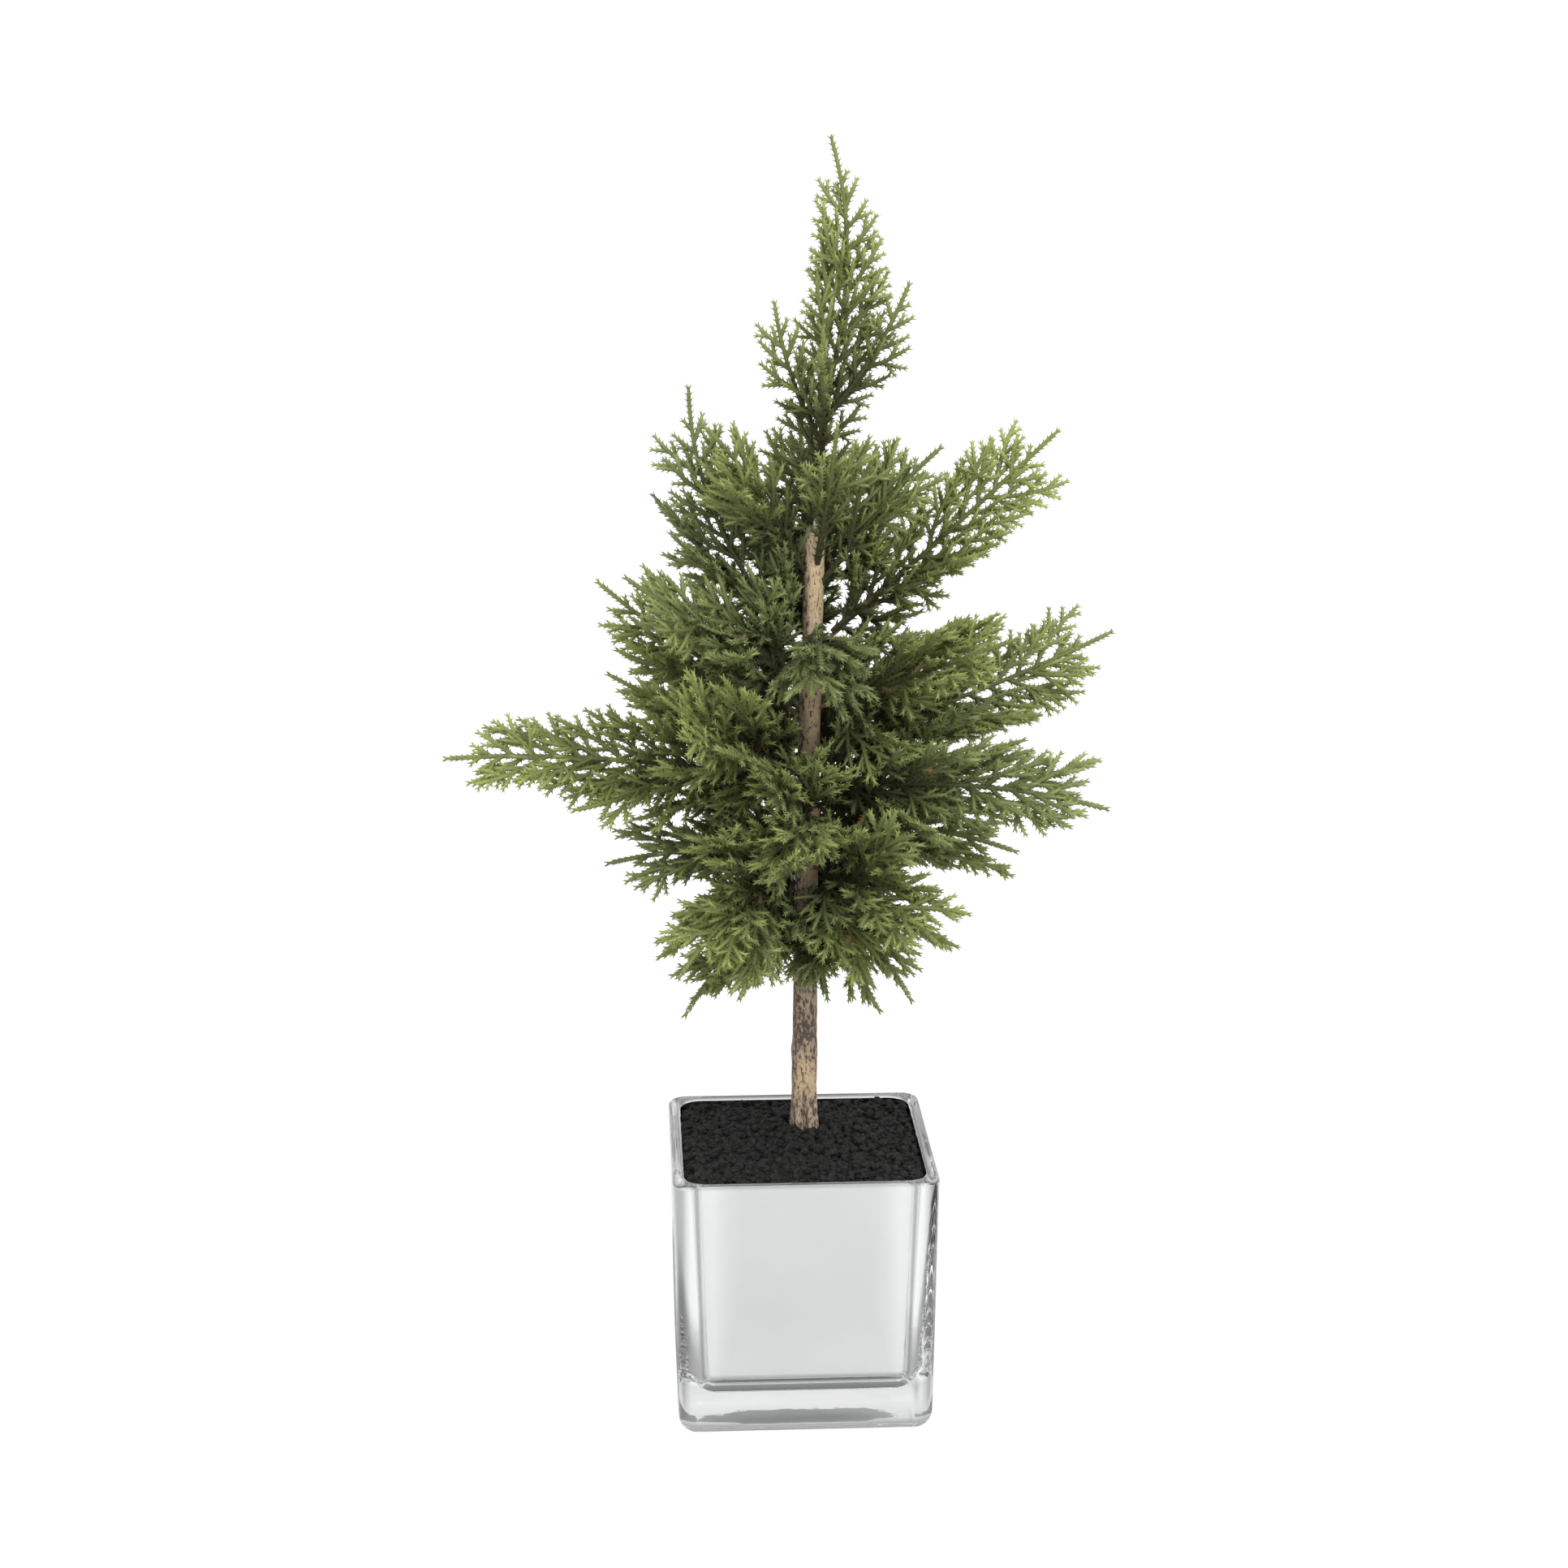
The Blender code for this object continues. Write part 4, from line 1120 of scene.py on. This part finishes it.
# The line of a side fork, which turns from one pitch to another.
def forkLine(start, azimuth, pitch, endPitch, length):
    heading = turned(Vector((1, 0, 0)), up, azimuth)
    face = Vector((0, -1, 0)) if abs(heading.x) > 0.7 else Vector((-1, 0, 0))

    def lineAt(share):
        halfway = math.radians(mixed(pitch, endPitch, share / 2))
        place = start + (heading * math.cos(halfway) + up * math.sin(halfway)) * share * length
        here = math.radians(mixed(pitch, endPitch, share))
        forward = heading * math.cos(here) + up * math.sin(here)
        return place, forward, forward.cross(face.cross(forward).normalized())

    return lineAt


def makeLeader():
    rng = random.Random(77)
    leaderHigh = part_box("leader_spray")[1]
    base = trunkAt(trunkHigh.z)[0]
    height = leaderHigh.z - base.z
    shares, offsets = zip(*leaderShape["line"])

    def middleAt(share):
        smooth = np.mean([np.interp(share + d, shares, offsets) for d in (-0.06, -0.03, 0.0, 0.03, 0.06)])
        smooth += np.interp(share, shares, offsets) - smooth if share > 0.97 else 0.0
        return base + Vector((smooth, 0, share * height))

    def lineAt(share):
        forward = (middleAt(min(1.0, share + 0.03)) - middleAt(max(0.0, share - 0.03))).normalized()
        return middleAt(share), forward, forward.cross(Vector((1, 0, 0))).normalized()

    def halfAt(share):
        return float(np.interp(share, *zip(*leaderShape["halves"])))

    links = []
    growStem(links, rng, lineAt, halfAt, height, 0.85, leaderShape)
    for forkHeight, azimuth, pitch, endPitch, length in leaderShape["forks"]:
        line = forkLine(middleAt(forkHeight / height), azimuth, pitch, endPitch, length)
        growStem(links, rng, line, forkHalf, length, 0.75, forkShape)
    addFoliage("foliage_leader", links, mainBody, ["leader_spray"])
    print("leader made, links:", len(links))


makeLeader()


# Floor, light and camera

stageLook = {
    "radius": 14.0,
    "gap": 0.2 * mm,  # the floor isn't quite in the plane of the cube's foot
    "glow": (0.22, 0.9),  # of the floor in the glass, and as the camera sees it
    "cameraDim": 0.75,  # how much of the floor's own shading is taken away for the camera
    "under": 0.5,  # painted shadow: how much darker the glass sees the floor under and behind the cube
    "underBand": (95 * mm, 130 * mm),
    "underMiddle": 45 * mm,
    "world": 1.15,
    "sides": 0.35,  # how bright the glass sees the studio low down on the left and right, and behind
    "behind": 0.5,
    "sidesBand": (0.45, 0.85),
    "behindBand": (0.3, 0.8),
    "lowBand": (0.25, 0.6),
}


def makeFloorMaterial():
    material = makePlainMaterial("paleFloor")
    tree = material.node_tree
    shader = tree.nodes["Principled BSDF"]
    black = (0.0, 0.0, 0.0, 1.0)
    direct = addNode(tree, "LightPath").outputs["Is Camera Ray"]
    place = placeOf(tree)
    # painted shadow on the floor under and behind the cube, seen only through the glass
    behind = calculated(tree, "SUBTRACT", place["Y"], stageLook["underMiddle"])
    reach = reachOf(tree, "MAXIMUM", place["X"], behind)
    under = mapped(tree, reach, *stageLook["underBand"], stageLook["under"], 0.0)
    under = calculated(tree, "MULTIPLY", under, calculated(tree, "SUBTRACT", 1.0, direct))
    glow = mapped(tree, direct, 0.0, 1.0, *stageLook["glow"])
    glow = calculated(tree, "MULTIPLY", glow, calculated(tree, "SUBTRACT", 1.0, under))
    shader.inputs["Emission Color"].default_value = (1, 1, 1, 1)
    tree.links.new(glow, shader.inputs["Emission Strength"])
    colour = shader.inputs["Base Color"].links[0].from_socket
    colour = mixColours(tree, calculated(tree, "MULTIPLY", direct, stageLook["cameraDim"]), colour, black)
    tree.links.new(mixColours(tree, under, colour, black), shader.inputs["Base Color"])
    return material


def makeStage():
    bm = bmesh.new()
    bmesh.ops.create_circle(bm, cap_ends=True, segments=96, radius=stageLook["radius"])
    floor = addObject("floor", meshOf("floor", bm))
    floor.data.materials.append(makeFloorMaterial())
    floor.location.z = -stageLook["gap"]


lampLooks = {
    "key": {"at": (0.95, -1.15, 1.55), "size": 0.9, "power": 20.0},
    "fill": {"at": (-1.35, -0.75, 0.95), "size": 1.1, "power": 7.0},
}


def makeLamps():
    target = Vector((0, 0, 0.2))
    for name, look in lampLooks.items():
        lamp = bpy.data.lights.new(name, "AREA")
        lamp.shape = "DISK"
        lamp.size = look["size"]
        lamp.energy = look["power"]
        holder = addObject(name, lamp)
        holder.location = look["at"]
        holder.rotation_euler = (target - Vector(look["at"])).to_track_quat("-Z", "Y").to_euler()
        holder.visible_camera = False


# White to the camera, and darker low down to the glass, which gives the glass its grey edges.
def makeWorld():
    world = bpy.data.worlds.new("studio")
    world.use_nodes = True
    tree = world.node_tree
    place = addNode(tree, "SeparateXYZ", {"Vector": addNode(tree, "TexCoord").outputs["Generated"]}).outputs
    across = calculated(tree, "ABSOLUTE", place["X"])
    aside = mapped(tree, across, *stageLook["sidesBand"], 0.0, 1 - stageLook["sides"])
    behind = mapped(tree, place["Y"], *stageLook["behindBand"], 0.0, 1 - stageLook["behind"])
    low = mapped(tree, calculated(tree, "ABSOLUTE", place["Z"]), *stageLook["lowBand"], 1.0, 0.0)
    dark = calculated(tree, "MULTIPLY", calculated(tree, "MAXIMUM", aside, behind), low)
    unseen = calculated(tree, "SUBTRACT", 1.0, addNode(tree, "LightPath").outputs["Is Camera Ray"])
    light = calculated(tree, "SUBTRACT", 1.0, calculated(tree, "MULTIPLY", dark, unseen))
    background = tree.nodes["Background"]
    background.inputs["Color"].default_value = (1, 1, 1, 1)
    tree.links.new(calculated(tree, "MULTIPLY", light, stageLook["world"]), background.inputs["Strength"])
    bpy.context.scene.world = world


cameraLook = {"at": (-0.0659, -1.1297, 0.5284), "tilt": -14.16, "turn": -3.03, "lens": 71.35}


def makeCamera():
    camera = bpy.data.cameras.new("camera")
    camera.lens = cameraLook["lens"]
    camera.sensor_width = 36.0
    holder = addObject("camera", camera)
    holder.location = cameraLook["at"]
    holder.rotation_euler = (math.radians(90 + cameraLook["tilt"]), 0, math.radians(cameraLook["turn"]))
    bpy.context.scene.camera = holder


def setLightPaths():  # thick glass in front of a mirror needs many bounces
    scene = bpy.context.scene
    scene.view_settings.view_transform = "Standard"
    scene.cycles.caustics_reflective = False
    scene.cycles.caustics_refractive = False
    scene.cycles.glossy_bounces = 24
    scene.cycles.transmission_bounces = 32
    scene.cycles.max_bounces = 40


makeStage()
makeLamps()
makeWorld()
makeCamera()
setLightPaths()
print("stage, lamps and camera made")
